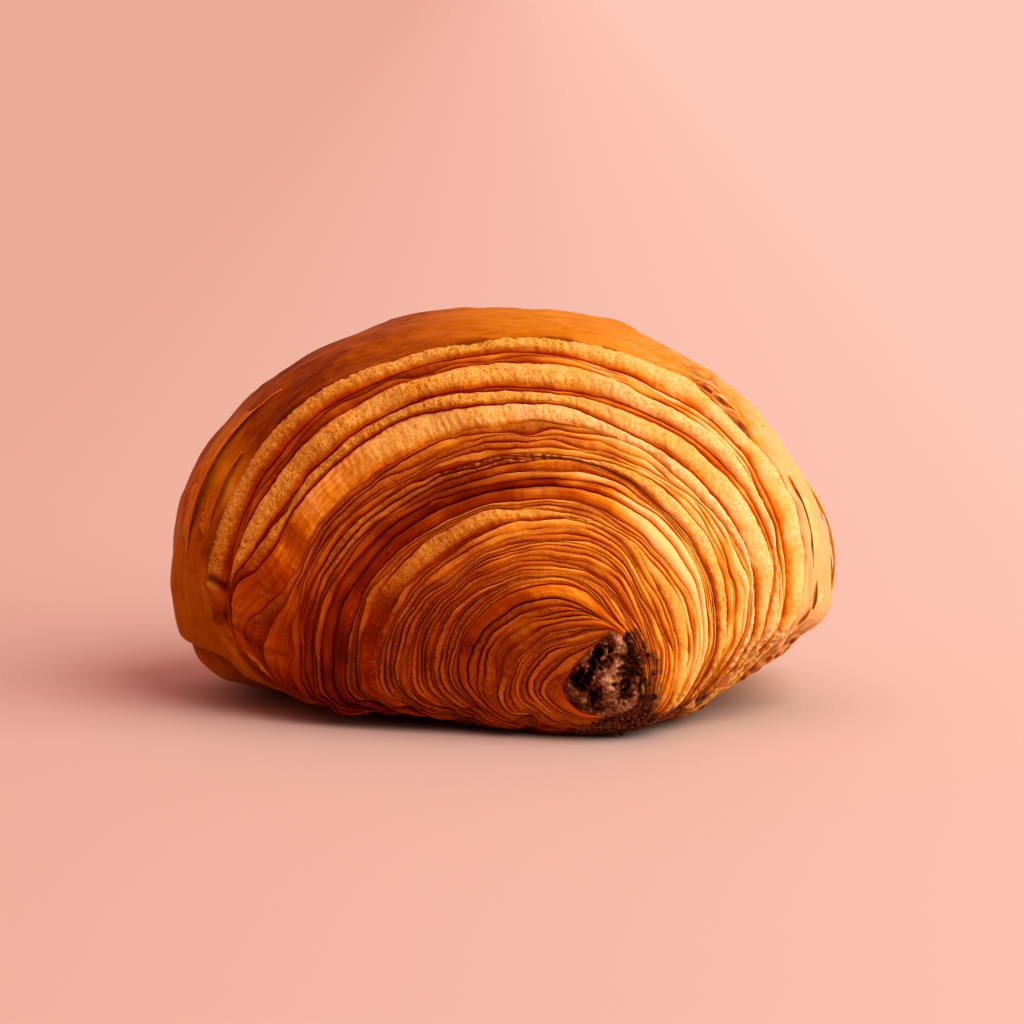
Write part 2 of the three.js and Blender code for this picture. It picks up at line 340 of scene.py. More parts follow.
UNDER_PALE = [(0, 1.58), (0.5, 1.62), (1.3, 1.59), (1.6, 1.63), (1.8, 1.72), (1.9, 1.74), (2.2, 1.745)]
UNDER_PALE += [(2.35, 1.7), (2.5, 1.56), (2.7, 1.45), (2.9, 1.42), (3.1, 1.35), (3.4, 1.35), (3.7, 1.5)]

# %% Lines of the second turn and the step over it
PALE_LEAF = [(0, 1.7), (1.2, 1.72), (1.4, 1.76), (1.8, 1.845), (2.0, 1.8), (2.2, 1.775), (2.5, 1.68)]
PALE_LEAF += [(3.0, 1.66), (3.3, 1.6)]
UNDER_SKIN = [(0, 1.84), (1.0, 1.84), (1.2, 1.815), (1.5, 1.86), (1.8, 1.9), (2.1, 1.9), (2.3, 1.85)]
UNDER_SKIN += [(2.5, 1.8), (2.7, 1.79), (2.9, 1.83), (3.1, 1.87), (3.4, 1.82)]
STEP_GROOVE = [(0, 1.95), (1.0, 1.92), (1.3, 1.935), (1.5, 1.96), (1.7, 1.99), (1.9, 2.01), (2.1, 2.0)]
STEP_GROOVE += [(2.3, 1.985), (2.5, 1.955), (2.7, 1.94), (3.1, 1.935), (3.4, 1.95)]
STEP = [(0, 2.03), (1.0, 2.04), (1.7, 2.055), (1.9, 2.07), (2.2, 2.07), (2.6, 2.05), (3.1, 2.03)]
BROWN_PATCH = [(0, 2.1), (1.3, 2.11), (1.6, 2.13), (1.9, 2.17), (2.1, 2.18), (2.3, 2.15)]
BROWN_PATCH += [(2.5, 2.08), (2.8, 2.09)]
BURNT_PAGES = [(0, 2.2), (1.0, 2.22), (1.9, 2.21), (2.1, 2.2), (2.3, 2.165), (2.45, 2.115), (3.1, 2.13)]
RIGHT_RIDGE = [(0, 2.21), (1.0, 2.228), (2.1, 2.21), (2.3, 2.22), (2.5, 2.22), (2.8, 2.24), (3.1, 2.24)]
AMBER_LEAF = [(0, 2.25), (1.6, 2.245), (2.5, 2.25), (2.7, 2.27), (2.9, 2.3), (3.1, 2.28)]
TOE_CREASE = [(0, 2.42), (0.6, 2.6), (0.8, 2.85), (0.9, 2.75), (1.0, 2.6), (1.1, 2.43), (1.2, 2.36)]
TOE_CREASE += [(1.4, 2.355), (1.8, 2.37), (2.0, 2.385), (2.2, 2.375), (2.3, 2.36), (2.5, 2.335)]
TOE_CREASE += [(2.6, 2.34), (2.7, 2.39), (2.8, 2.43), (2.9, 2.46), (3.1, 2.45)]

# %% Lines between the ridges, and the rim
LOW_RIDGE = [(0, 2.55), (0.8, 2.95), (0.95, 2.92), (1.0, 2.9), (1.05, 2.82), (1.1, 2.66), (1.2, 2.55)]
LOW_RIDGE += [(1.5, 2.535), (1.7, 2.53), (1.8, 2.504), (2.1, 2.484), (2.3, 2.42), (2.5, 2.41)]
LOW_RIDGE += [(2.7, 2.46), (2.9, 2.49)]
THIN_RIDGE = [(0, 2.65), (0.8, 2.98), (1.0, 2.94), (1.05, 2.87), (1.1, 2.76), (1.2, 2.667), (1.3, 2.6)]
THIN_RIDGE += [(1.7, 2.59), (2.1, 2.55), (2.3, 2.54), (2.5, 2.56), (2.7, 2.62), (2.9, 2.68)]
THIN_RIDGE += [(3.0, 2.63), (3.1, 2.6)]
DEEP_GROOVE = [(0, 2.66), (0.8, 2.985), (1.0, 2.945), (1.1, 2.765), (1.2, 2.675), (1.3, 2.608), (1.7, 2.598)]
DEEP_GROOVE += [(2.1, 2.558), (2.3, 2.56), (2.5, 2.59), (2.7, 2.65), (2.9, 2.71), (3.0, 2.66), (3.1, 2.62)]
MIDDLE_RIDGE = [(0, 2.78), (0.8, 3.0), (1.0, 2.965), (1.1, 2.9), (1.2, 2.84), (1.3, 2.79), (1.6, 2.745)]
MIDDLE_RIDGE += [(1.8, 2.73), (2.1, 2.73), (2.3, 2.667), (2.5, 2.705), (2.6, 2.73), (2.8, 2.75), (3.0, 2.72)]
UNDER_TOP_RIDGE = [(0, 2.85), (0.8, 3.02), (1.0, 2.99), (1.1, 2.95), (1.3, 2.895), (1.4, 2.855), (1.6, 2.84)]
UNDER_TOP_RIDGE += [(1.8, 2.806), (2.0, 2.794), (2.35, 2.752), (2.5, 2.783), (2.6, 2.8)]
UNDER_TOP_RIDGE += [(2.8, 2.8), (3.1, 2.77)]
FRONT_RIM = [(0, 3.0), (0.7, 3.1), (1.0, 3.3), (1.1, 3.25), (1.2, 3.16), (1.4, 3.18), (1.5, 3.14)]
FRONT_RIM += [(1.6, 3.05), (1.7, 2.95), (1.85, 2.95), (2.0, 2.985), (2.1, 3.0), (2.2, 2.96), (2.3, 2.99)]
FRONT_RIM += [(2.4, 3.04), (2.48, 2.95), (2.6, 2.98), (2.7, 3.06), (2.8, 3.17), (2.85, 3.11), (2.9, 3.17)]
FRONT_RIM += [(3.0, 3.06), (3.2, 3)]

# %% Bands of the front and the back
COIL_BANDS = [
    band("lip", 1, 0.5, HOOK),
    band("fine", 3, 0.6, LOW_FAN),
    band("fine", 5, 0.6, FAN),
    band("fine", 5, 0.6, UNDER_COIL_SKIN),
    band("skin", 1, 0.9, COIL_SKIN),
    band("thin", 5, 0.7, TIP_LEAVES),
    band("fine", 6, 0.7, PAGES),
    band("thin", 6, 0.7, UNDER_PALE),
]
STEP_BANDS = [
    band("pale", 1, 0.8, PALE_LEAF, bare=1.4),
    band("thin", 3, 0.6, UNDER_SKIN),
    band("skin", 1, 0.9, STEP_GROOVE),
    band("step", 1, 0.5, STEP),
    band("smooth", 2, 0.6, BROWN_PATCH),
    band("crumbly", 2, 0.6, BURNT_PAGES, bare=1.3),
    band("ridge", 1, 0.9, RIGHT_RIDGE, bare=2.0),
    band("smooth", 1, 0.6, AMBER_LEAF),
    band("thin", 4, 0.6, TOE_CREASE),
]
RIDGE_BANDS = [
    band("ridge", 1, 0.7, LOW_RIDGE, bare=1.6, paler=0.35),
    band("ridge", 1, 0.8, THIN_RIDGE, bare=1.2),
    band("deep", 1, 0.3, DEEP_GROOVE),
    band("ridge", 1, 0.9, MIDDLE_RIDGE, paler=0.08),
    band("smooth", 2, 0.5, UNDER_TOP_RIDGE),
    band("ridge", 1, 0.9, FRONT_RIM),
]
BACK_INNER_BANDS = [
    band("lip", 1, 0.5, [(0, 0.15)]),
    band("fine", 9, 0.8, [(0, 0.7)]),
    band("skin", 1, 1.1, [(0, 1.0)]),
    band("fine", 9, 0.9, [(0, 1.36)]),
    band("thin", 8, 0.9, [(0, 1.74)]),
    band("skin", 1, 1.2, [(0, 2.0)]),
]
BACK_OUTER_BANDS = [
    band("step", 1, 0.7, [(0, 2.12)]),
    band("thin", 4, 0.9, [(0, 2.28)]),
    band("ridge", 1, 1.2, [(0, 2.48)]),
    band("smooth", 3, 0.8, [(0, 2.62)]),
    band("ridge", 1, 1.4, [(0, 2.8)]),
    band("thin", 2, 0.7, [(0, 2.86)]),
    band("ridge", 1, 1.3, [(0, 3.0)]),
]
print("leaves at the front:", sum(b["leaves"] for b in COIL_BANDS + STEP_BANDS + RIDGE_BANDS))

# %% Edges of the leaves
LINE_PLACES = np.linspace(0, 4, 800, endpoint=False)
EASED_OVER = 17  # places over which the corners of a drawn line are rounded
LINE_STRAY = 0.014  # stations
LINE_LAYERS = ((1, 9, 0), (0.35, 3, 31), (0.2, 1.2, 57))
STRAY_RING = 2.0  # the station whose ring gives every line its stray
WIDTH_LAYERS = ((0.8, 15, 0), (0.4, 5, 0))  # how far widths stray from their shares
NARROWEST_LEAF = 0.12
THINNEST = 0.0006  # stations, kept between edges that pinch together


def line_at(stops, around):
    """Stations of a drawn line at places round the ring, with its corners eased and a little stray."""
    places, stations = np.array(stops, float).T
    seed = stations.sum()
    drawn = np.interp(LINE_PLACES, places, stations, period=4)
    half = EASED_OVER // 2
    wrapped = np.concatenate([drawn[-half:], drawn, drawn[:half]])
    window = np.hanning(EASED_OVER + 2)[1:-1]
    eased = np.convolve(wrapped, window / window.sum(), mode="valid")
    stray = layered(smooth_point(STRAY_RING, around), LINE_LAYERS, seed)
    return np.interp(around, LINE_PLACES, eased, period=4) + LINE_STRAY * stray


def leaf_edges(bands, start_line, around):
    """(stations where each leaf starts and the last one ends, the band of each leaf)."""
    drawn = [start_line] + [b["ends"] for b in bands]
    lines = np.maximum.accumulate([line_at(stops, around) for stops in drawn])
    lines = np.maximum(lines, 0)
    edges, owners = [], []
    for i, b in enumerate(bands):
        middle = smooth_point((lines[i] + lines[i + 1]) / 2, around)
        widths = [layered(middle, WIDTH_LAYERS, i * 7 + k, start=1) for k in range(b["leaves"])]
        widths = np.maximum(widths, NARROWEST_LEAF)
        starts = (np.cumsum(widths, axis=0) - widths) / np.sum(widths, axis=0)
        edges.extend(lines[i] + (lines[i + 1] - lines[i]) * starts)
        owners.extend([b] * b["leaves"])
    edges = np.array(edges + [lines[-1]])
    return edges + THINNEST * np.arange(len(edges))[:, None], owners


# %% [markdown]
# ## From leaves to a surface
#
# The section of a leaf is half a squarish oval, like a page edge or a pillow, and it is fullest
# towards its outer side, as the leaves lap over one another. Its rows of points crowd towards the
# grooves, where the surface turns quickest. The result is one array of points for a grid of rows and
# columns, with the finish of each point kept beside it. One more row at each side is tucked under,
# so two pieces that meet in a groove leave no slit between them.

# %% Helpers for grids of points
CROWN_CROWDING = 0.35  # how much closer the columns stand over the crown than under the roll


def ring_places(columns):
    """Places round the ring, closed on themselves, and closer together over the crown."""
    turn = np.linspace(0, 1, columns + 1)
    around = 4 * (turn + CROWN_CROWDING * np.sin(2 * math.pi * turn) / (2 * math.pi))
    around[-1] = around[0]
    return around


def run_length(points, axis):
    """Distance travelled along a grid of points, in mm."""
    steps = np.linalg.norm(np.diff(points, axis=axis), axis=-1)
    start = np.zeros_like(steps[:1] if axis == 0 else steps[:, :1])
    return np.concatenate([start, np.cumsum(steps, axis=axis)], axis=axis)


# %% How pale each point is, with painted light and shade, and how finished it is
FINISH = ("relief", "crumb", "gloss", "toast", "stain", "pale", "tone", "strand_u", "strand_v")
# painted light and shade: the dough is painted paler towards the lamp on the right and higher up, and darker
# away from it on the left
PALEST, DARKEST, PALE_ACROSS = 1.0, 0.1, (-30, 75)  # and the mm across over which it changes
PALE_TILT, TILT_FROM = 0.3, 20  # each mm above this height counts as so many mm further across
PAINTED_SHADE_ROUTE = [(-28, 4), (-20, 8), (4, 11), (13, 12)]  # painted shade, in mm across and up, round the coil
DEEPER, DEEP_REACH = 0.28, 13  # how much darker the painted shade makes it there, and within how many mm
END_TURNS = (-20, -32)  # mm along, over which the side turns to the front end


def painted_side_light(points):
    """Painted light and shade: palest on the right flank and higher up, towards the lamp, darkest on the left
    of the roll, and darker low round the coil.
    """
    tilted = points[..., 0] + PALE_TILT * (points[..., 2] - TILT_FROM)
    pale = DARKEST + (PALEST - DARKEST) * smoothstep(*PALE_ACROSS, tilted)
    front = smoothstep(*END_TURNS, points[..., 1])
    # painted shade low round the coil and on the left
    return pale - DEEPER * front * hump(near_route(points, PAINTED_SHADE_ROUTE), DEEP_REACH)


def finish_of(points, **values):
    """Every value of FINISH at every point, 0 where none is given."""
    whole = np.ones(points.shape[:-1])
    return {key: values.get(key, 0) * whole for key in FINISH}


# %% Section and lift of a leaf
STEEPEST_LEAF = 0.42  # a leaf never stands higher than this share of its own width
SWELL, SWELL_SIZE = 0.35, 8  # share of its lift by which a leaf swells, and mm
FRAY, TORN_LAYERS = 0.45, ((0.7, 2.2, 1), (0.5, 0.9, 2))  # share by which its edge is torn


def rows_across(kinds):
    """(the leaf of each row, how far across it the row is), with rows closer by the grooves."""
    leaf = np.array([k for k, kind in enumerate(kinds) for _ in range(kind["rows"])])
    along = [0.5 - 0.5 * np.cos(np.arange(k["rows"]) * math.pi / k["rows"]) for k in kinds]
    return leaf, np.concatenate(along)[:, None]


def section(along, peak, square):
    """The section of a leaf, from 0 in its grooves to 1 at its peak."""
    centred = np.where(along < peak, along / peak - 1, (along - peak) / (1 - peak))
    return (1 - np.abs(centred) ** square) ** (1 / square)


def lift_of_leaves(owners, own_place, widths, narrow, seed):
    """How far each leaf stands out at each place round the ring, in mm."""
    lifts = np.array([owner["lift"] for owner in owners])[:, None]
    lifts = lifts * (1 + SWELL * lumps(own_place, SWELL_SIZE, seed))
    lifts *= 1 + FRAY * narrow * layered(own_place, TORN_LAYERS, seed)
    return np.minimum(lifts, widths * STEEPEST_LEAF)


# %% Feet of the leaves, over the tray
FOOT_GAP, SCALLOP = 1.8, 5.0  # mm the feet of the leaves stand off the tray at most, and how wide apart
GAP_ACROSS, GAP_UP = (14, 4), (7, 1.5)  # mm over which that gap comes in
SEEN_FROM_FRONT = np.array([1, 0.2, 0])  # scallops run on from leaf to leaf, and little along the roll
OWN_SCALLOP = 0.5  # what each leaf adds of its own


def foot_gap(points, own_place, leaf, seed):
    """How far the leaves would stand off the tray where they reach it, in mm."""
    scallops = lumps(points * SEEN_FROM_FRONT, SCALLOP, 10)
    scallops = scallops + OWN_SCALLOP * lumps(own_place, 3, seed + 10)[leaf]
    return FOOT_GAP * np.clip(0.1 + scallops, 0, 1) * smoothstep(*GAP_ACROSS, points[..., 0])


# %% Surface of a coiled end
DEEPEST_GROOVE = 0.4  # a groove is never deeper than this share of its leaf's width
ALWAYS_PARTED = 0.26  # mm of groove from which a leaf never melts into the next
MELTED, MELTING = 0.1, (-0.7, 0.6)  # what is left of a melted groove, and the noise that picks it
TRAY_FADE = 2.5  # mm above the tray over which relief dies away
LEAN_OUT = 0.35  # leaves stand a little towards their own end of the roll
STAGGER = 0.28  # mm by which whole leaves stand in or out of the row
CELL_LUMP, SLOW_LUMP = 0.26, 0.3  # mm, the small cells of the crumb and broad swells
CALMED = 0.85  # share of its relief that a calm place loses
NEXT_LEAF, NEXT_STRAND = 9.7, 3.1  # mm between the noise and the streaks of one leaf and the next
TONE_LAYERS = ((0.45, 13, 7), (0.45, 4, 9))
LEAF_TONE, TONE_TURN = 0.25, 2.4  # how much leaves differ, and radians from one to the next
CRUMB_STARTS = (0.05, 0.4)  # share of a leaf's width over which its crumb begins
SKIN_GLOSS = 0.8  # a leaf glossier than this is a skin that ends a turn
PALE_SKIN, SKIN_ACROSS = 1.1, (14, 28)  # how much paler such a skin turns, over these mm across
PALE_EDGE = 0.2  # how much paler the outer side of a leaf is than its inner one
TOAST_AT, TOAST_REACH = -2.0, 15.0  # mm across, where the skins that end a turn browned most


def no_calm(points):
    """The share of its relief that a place loses, here none."""
    return np.zeros(points.shape[:-1])


def end_surface(bands, start_line, columns, to_station, way, seed, calm=no_calm):
    """Points in mm and finish values of some bands. way is -1 at the front end."""
    around = ring_places(columns)
    edges, owners = leaf_edges(bands, start_line, around)
    kinds = [KINDS[owner["kind"]] for owner in owners]
    leaf, along = rows_across(kinds)
    of_row = {key: np.array([kinds[k][key] for k in leaf], float)[:, None] for key in KIND_VALUES}
    bare, paler = [np.array([owner[key] for owner in owners])[leaf][:, None] for key in ("bare", "paler")]
    edge_points = smooth_point(to_station(edges), around)
    widths = np.linalg.norm(np.diff(edge_points, axis=0), axis=-1)
    narrow = 1 / np.maximum(widths, 1)  # 1 up to a width of 1 mm, then less
    own_place = edge_points[:-1] + np.arange(len(owners))[:, None, None] * NEXT_LEAF

    station = to_station(edges[leaf] + (edges[leaf + 1] - edges[leaf]) * along)
    around = np.broadcast_to(around, station.shape)
    points = smooth_point(station, around)
    normal, _ = surface_frame(station, around)
    hanging = foot_gap(points, own_place, leaf, seed)

    groove = np.minimum(of_row["groove"], widths[leaf] * DEEPEST_GROOVE)
    parted = MELTED + (1 - MELTED) * smoothstep(*MELTING, lumps(own_place, 6, seed + 6))
    parted = np.maximum(parted[leaf], of_row["groove"] > ALWAYS_PARTED)
    rise = 1 - (1 - section(along, of_row["peak"], of_row["square"])) * parted
    height = lift_of_leaves(owners, own_place, widths, narrow, seed)[leaf] * rise - groove * (1 - rise)
    height += (STAGGER * narrow * lumps(own_place, 11, seed + 8))[leaf]
    cells = 0.4 - np.abs(lumps(points, 1.3, seed + 2)) + 0.3 * lumps(points, 0.55, seed + 3)
    height = height * (1 - CALMED * calm(points)) + cells * CELL_LUMP * of_row["crumb"]
    height = height + lumps(points, 6.0, seed + 4) * SLOW_LUMP
    fade = smoothstep(0, TRAY_FADE, points[..., 2])
    lean = unit(normal + np.array([0, way, 0]) * LEAN_OUT)
    points = points + lean * (height * fade)[..., None]
    points[..., 2] += hanging * smoothstep(*GAP_UP, points[..., 2])
    points[..., 2] = np.maximum(points[..., 2], 0)

    tone = layered(own_place, TONE_LAYERS, seed, start=0.5)
    tone += LEAF_TONE * np.sin(np.arange(len(owners)) * TONE_TURN)[:, None]
    pale_skin = PALE_SKIN * (of_row["gloss"] > SKIN_GLOSS) * smoothstep(*SKIN_ACROSS, points[..., 0])
    crumb = of_row["crumb"] * smoothstep(bare - 0.2, bare + 0.1, around) * smoothstep(*CRUMB_STARTS, along)
    usual_width = widths.mean(axis=1, keepdims=True)
    finish = finish_of(
        points,
        relief=rise,
        crumb=crumb,
        gloss=of_row["gloss"],
        toast=of_row["toast"] * hump(points[..., 0] - TOAST_AT, TOAST_REACH),
        pale=painted_side_light(points) + PALE_EDGE * (along - 0.5) + pale_skin + paler,
        tone=np.clip(tone, 0, 1)[leaf],
        strand_u=run_length(edge_points, axis=1)[:-1][leaf] * MM,
        strand_v=(usual_width[leaf] * along + leaf[:, None] * NEXT_STRAND) * MM,
    )
    return tucked_under(points, finish, edges, to_station, around[0])


# %% Tuck under the neighbours
TUCK_STATION, TUCK_DEPTH = 0.05, 2.5  # how far a piece reaches on under its neighbour, and mm deep


def tucked_under(points, finish, edges, to_station, around):
    """The same grid with a row more at each side that dives under its neighbour."""
    rows = []
    for edge, onward in ((edges[0], -TUCK_STATION), (edges[-1], TUCK_STATION)):
        station = to_station(np.maximum(edge + onward, 0))
        normal, _ = surface_frame(station, around)
        rows.append((smooth_point(station, around) - normal * TUCK_DEPTH)[None])
    points = np.concatenate([rows[0], points, rows[1]])
    points[..., 2] = np.maximum(points[..., 2], 0)
    finish = {key: np.concatenate([v[:1], v, v[-1:]]) for key, v in finish.items()}
    finish["relief"][0] = finish["relief"][-1] = 0
    return points, finish


# %% [markdown]
# ## Folds, toast, painted shade and chocolate stains on the front
#
# Low on the left the ridges end in a rounded toe, and below its crease is one smooth fold of skin.
# Over the crown of the second turn a line of crumbs is nearly burnt. Melted chocolate has run into
# the leaves to the right of the mouth and under it. Each is a route drawn on the front, in mm across
# and up.

# %% Folds low on the left
TOE_EDGE = [(-44, 20.5), (-41.7, 16.9), (-39.5, 16.2), (-37, 16.8), (-34.5, 18.9), (-32.5, 21.7), (-31, 24)]
EDGE_SOFT, FOLD_ACROSS = (0.6, -1.2), (-29, -32.5)  # mm over which the fold begins
# a mark, here and below: its route in mm across and up, how strong it is, how many mm it reaches
TOE = ([(-41, 20), (-36, 23)], 1, 4.0)
KNOT = ([(-45.6, 15.8), (-43.8, 16)], 1, 1.6)
PINCH = [(-45.6, 21.6), (-43.8, 20.6)]
PINCHED, PINCH_TOAST = (PINCH, 1.6, 1.0), (PINCH, 1, 0.9)
FOLD_CREASE = ([(-42, 14.5), (-38, 11), (-34, 10.5)], 0.7, 0.7)
TOE_PROUD, KNOT_PROUD, KNOT_LUMP = 0.8, 0.5, 0.6  # mm
FOLD_GLOSS, FOLD_RELIEF = 0.8, 0.85
KNOT_TOAST = 0.6


def fold_of_skin(points):
    """Where the low left of the front is one smooth fold, from 0 to 1."""
    crease_at = np.interp(points[..., 0], *np.array(TOE_EDGE).T)
    return smoothstep(*EDGE_SOFT, points[..., 2] - crease_at) * smoothstep(*FOLD_ACROSS, points[..., 0])


def mark_folds(points, finish):
    fold, toe, knot = fold_of_skin(points), mark(points, *TOE), mark(points, *KNOT)
    points[..., 1] += mark(points, *FOLD_CREASE) + mark(points, *PINCHED)
    points[..., 1] -= TOE_PROUD * toe
    points[..., 1] -= knot * (KNOT_PROUD + KNOT_LUMP * lumps(points, 1.3, 3))
    finish["crumb"] *= 1 - 0.9 * np.maximum(fold, 0.7 * toe)
    finish["gloss"] += (FOLD_GLOSS - finish["gloss"]) * np.maximum(fold, toe)
    finish["relief"] += (FOLD_RELIEF - finish["relief"]) * fold
    finish["toast"] = np.clip(finish["toast"] + KNOT_TOAST * knot + mark(points, *PINCH_TOAST), 0, 1)


# %% Toast, painted shade and chocolate on the leaves
BURNT_LINE = ([(-9, 40.6), (-2, 42.4), (6.4, 42.7), (12, 41.5)], 1.3, 0.9)
BROWN_ROUTE = ([(-14, 35.5), (-9.1, 37.6), (0.2, 39.2), (8, 39.2)], 0.6, 1.6)
CRISP_FOOT = ([(28, 4), (37, 9), (43, 13)], 0.7, 3.0)
CHOCOLATE_RUNS = ([(20.5, 16.5), (23.2, 12.5), (23.4, 8.5), (21.5, 4.5), (17, 2.8)], 0.8, 2.3)
CHOCOLATE_FOOT = ([(13, 1.2), (20, 1.8), (28, 3.4), (32, 5)], 0.75, 2.2)
# how toasted the foot is and how dark the low left is painted as shade, with the mm up and across over which
# each comes in
FOOT_TOAST, FOOT_UP, FOOT_ACROSS = 1.1, (3.5, 0.5), (-10, 0)
# painted shade: the low left of the front is painted darker, where little light falls
LOW_LEFT_SHADE, LOW_UP, LOW_ACROSS = 0.45, (16, 3), (-10, -24)


def mark_toast_and_shade(points, finish):
    burnt = mark(points, *BURNT_LINE) * smoothstep(0.2, 0.5, finish["crumb"])
    foot = FOOT_TOAST * smoothstep(*FOOT_UP, points[..., 2]) * smoothstep(*FOOT_ACROSS, points[..., 0])
    # painted shade low on the left, added to the toast
    painted_low_shade = LOW_LEFT_SHADE * smoothstep(*LOW_UP, points[..., 2]) * smoothstep(*LOW_ACROSS, points[..., 0])
    patchy = smoothstep(-0.6, 0.4, lumps(points, 0.7, 12))
    toast = finish["toast"] + (burnt + mark(points, *CRISP_FOOT) + foot) * patchy
    finish["toast"] = np.clip(toast + mark(points, *BROWN_ROUTE) + painted_low_shade, 0, 1)


def mark_chocolate(points, finish):
    finish["stain"] = np.clip(mark(points, *CHOCOLATE_RUNS) + mark(points, *CHOCOLATE_FOOT), 0, 1)


# %% Front end and back end


def from_front(station):
    return station


def from_back(station):
    return LAST_STATION - station


front_coil = end_surface(COIL_BANDS, MOUTH_EDGE, 640, from_front, way=-1, seed=1)
front_step = end_surface(STEP_BANDS, UNDER_PALE, 840, from_front, way=-1, seed=2, calm=fold_of_skin)
front_outer = end_surface(RIDGE_BANDS, TOE_CREASE, 1300, from_front, way=-1, seed=3, calm=fold_of_skin)
back_inner = end_surface(BACK_INNER_BANDS, MOUTH_EDGE, 460, from_back, way=1, seed=5)
back_outer = end_surface(BACK_OUTER_BANDS, [(0, 2.0)], 700, from_back, way=1, seed=6)
for grid in (front_coil, front_step, front_outer):
    mark_toast_and_shade(*grid)
    mark_chocolate(*grid)
mark_folds(*front_step)
mark_folds(*front_outer)
for title, (points, _) in {"coil": front_coil, "step": front_step, "ridges": front_outer}.items():
    print("front", title, "rows and columns:", points.shape[:2])

# %% [markdown]
# ## The crust
#
# The outside of the roll is its last leaf, a brushed skin from one rim to the other. It baked
# smooth and shiny, with fine wrinkles that run round the roll, long flat facets, broad blisters, and
# a thin ragged edge at each rim. Low on the left it hangs over a second lobe.

# %% Crust: the skin between its two ragged edges
CRUST_ROWS, CRUST_COLUMNS = 150, 620
EDGE_CROWDING = 0.7  # how much closer the rows stand near the edges
RAGGED_EDGE, RAGGED_LAYERS = 0.02, ((1, 7, 0), (0.6, 2, 5))  # stations
FRONT_LAP, BACK_LAP = 0.03, 0.02  # stations by which it laps over each rim


def skin_places():
    """(stations, places round the ring) of the skin's grid, from the front rim to the back one."""
    around = ring_places(CRUST_COLUMNS)
    ragged = [layered(smooth_point(RIM_STATION, around), RAGGED_LAYERS, seed) for seed in (1, 2)]
    start = line_at(FRONT_RIM, around) - FRONT_LAP + RAGGED_EDGE * ragged[0]
    end = LAST_STATION - RIM_STATION + BACK_LAP + RAGGED_EDGE * ragged[1]
    share = np.linspace(0, 1, CRUST_ROWS + 1)[:, None]
    crowded = share - EDGE_CROWDING * np.sin(2 * math.pi * share) / (2 * math.pi)
    station = start + (end - start) * crowded
    return station, np.broadcast_to(around, station.shape)


# %% Crust: blisters and facets
CRUST_OUT = 0.7  # mm that the skin stands over the rims
BLISTER, BLISTER_LAYERS = 0.6, ((0.7, 17, 7), (0.3, 7, 8))  # mm
FACET, FACET_SIZE, FACET_DRAWN = 0.8, 9, 2  # mm, mm, and times longer than wide


def squeezed(points, times):
    """Points squeezed round the roll, so lumps there are drawn out by so many times."""
    return points / np.array([times, 1, times])


def blistered(points):
    """How far the crust stands over the smooth roll, in mm, without its wrinkles."""
    facets = np.abs(lumps(squeezed(points, FACET_DRAWN), FACET_SIZE, 11))
    return CRUST_OUT + BLISTER * layered(points, BLISTER_LAYERS) - FACET * facets


# %% Crust: marks
TAN_PATCH = ([(-46, 44), (-43, 36)], 0.6, 5)
CRISP_EDGE = ([(46, 9.5), (42, 7), (36, 4), (29.5, 2)], 1, 4.5)
CRUST_SHADE_ROUTE = ([(-34, 50), (-22, 58)], 0.4, 20)  # painted shade on the top left of the skin, away from the lamp
CRUST_CRACK = ([(29.8, 55.2), (32.5, 52.5), (34.5, 49.7), (37.6, 46.5)], 1, 1.0)
LOBE_CREASE = ([(-52, 9.4), (-49.9, 9.2), (-44.5, 7.1), (-42, 4.2), (-39.3, 2.8), (-33.3, 1.3)], 1, 1.1)
FRONT_HALF, CRISP_ALONG = (2, -8), (0, -8)  # mm along, over which marks on the front come in
# painted light: the right flank of the skin is painted paler, towards the lamp
FLANK_PAINTED_LIGHT, FLANK_ACROSS = 0.5, (38, 50)
BROWN_EDGE, BROWN_REACH = 0.45, 0.9  # how brown its edges are, and mm
CRACK_TOAST, LOBE_TOAST = 0.7, 0.4
LIP_RELIEF, LOBE_RELIEF = 0.35, 0.5  # how far the lip and the crease count as sunk

# %% Crust: its surface
EDGE_LIP, LIP_WIDTH = 0.5, 2.0  # mm, how far the edge curls up and over what width
WRINKLE, WRINKLE_DRAWN, WRINKLE_LAYERS = 0.1, 5, ((1, 1.5, 4), (0.6, 0.8, 6))  # mm, times longer
# how many times deeper the wrinkles are by the edges, on the right flank and where it is crisp
EDGE_WRINKLE, FLANK_WRINKLE, CRISP_WRINKLE = 1.5, 1.6, 7
EDGE_REACH, WRINKLED_ACROSS = 7, (25, 48)  # mm
CRACK_DEPTH, LOBE_DEPTH = 0.5, 1.2  # mm


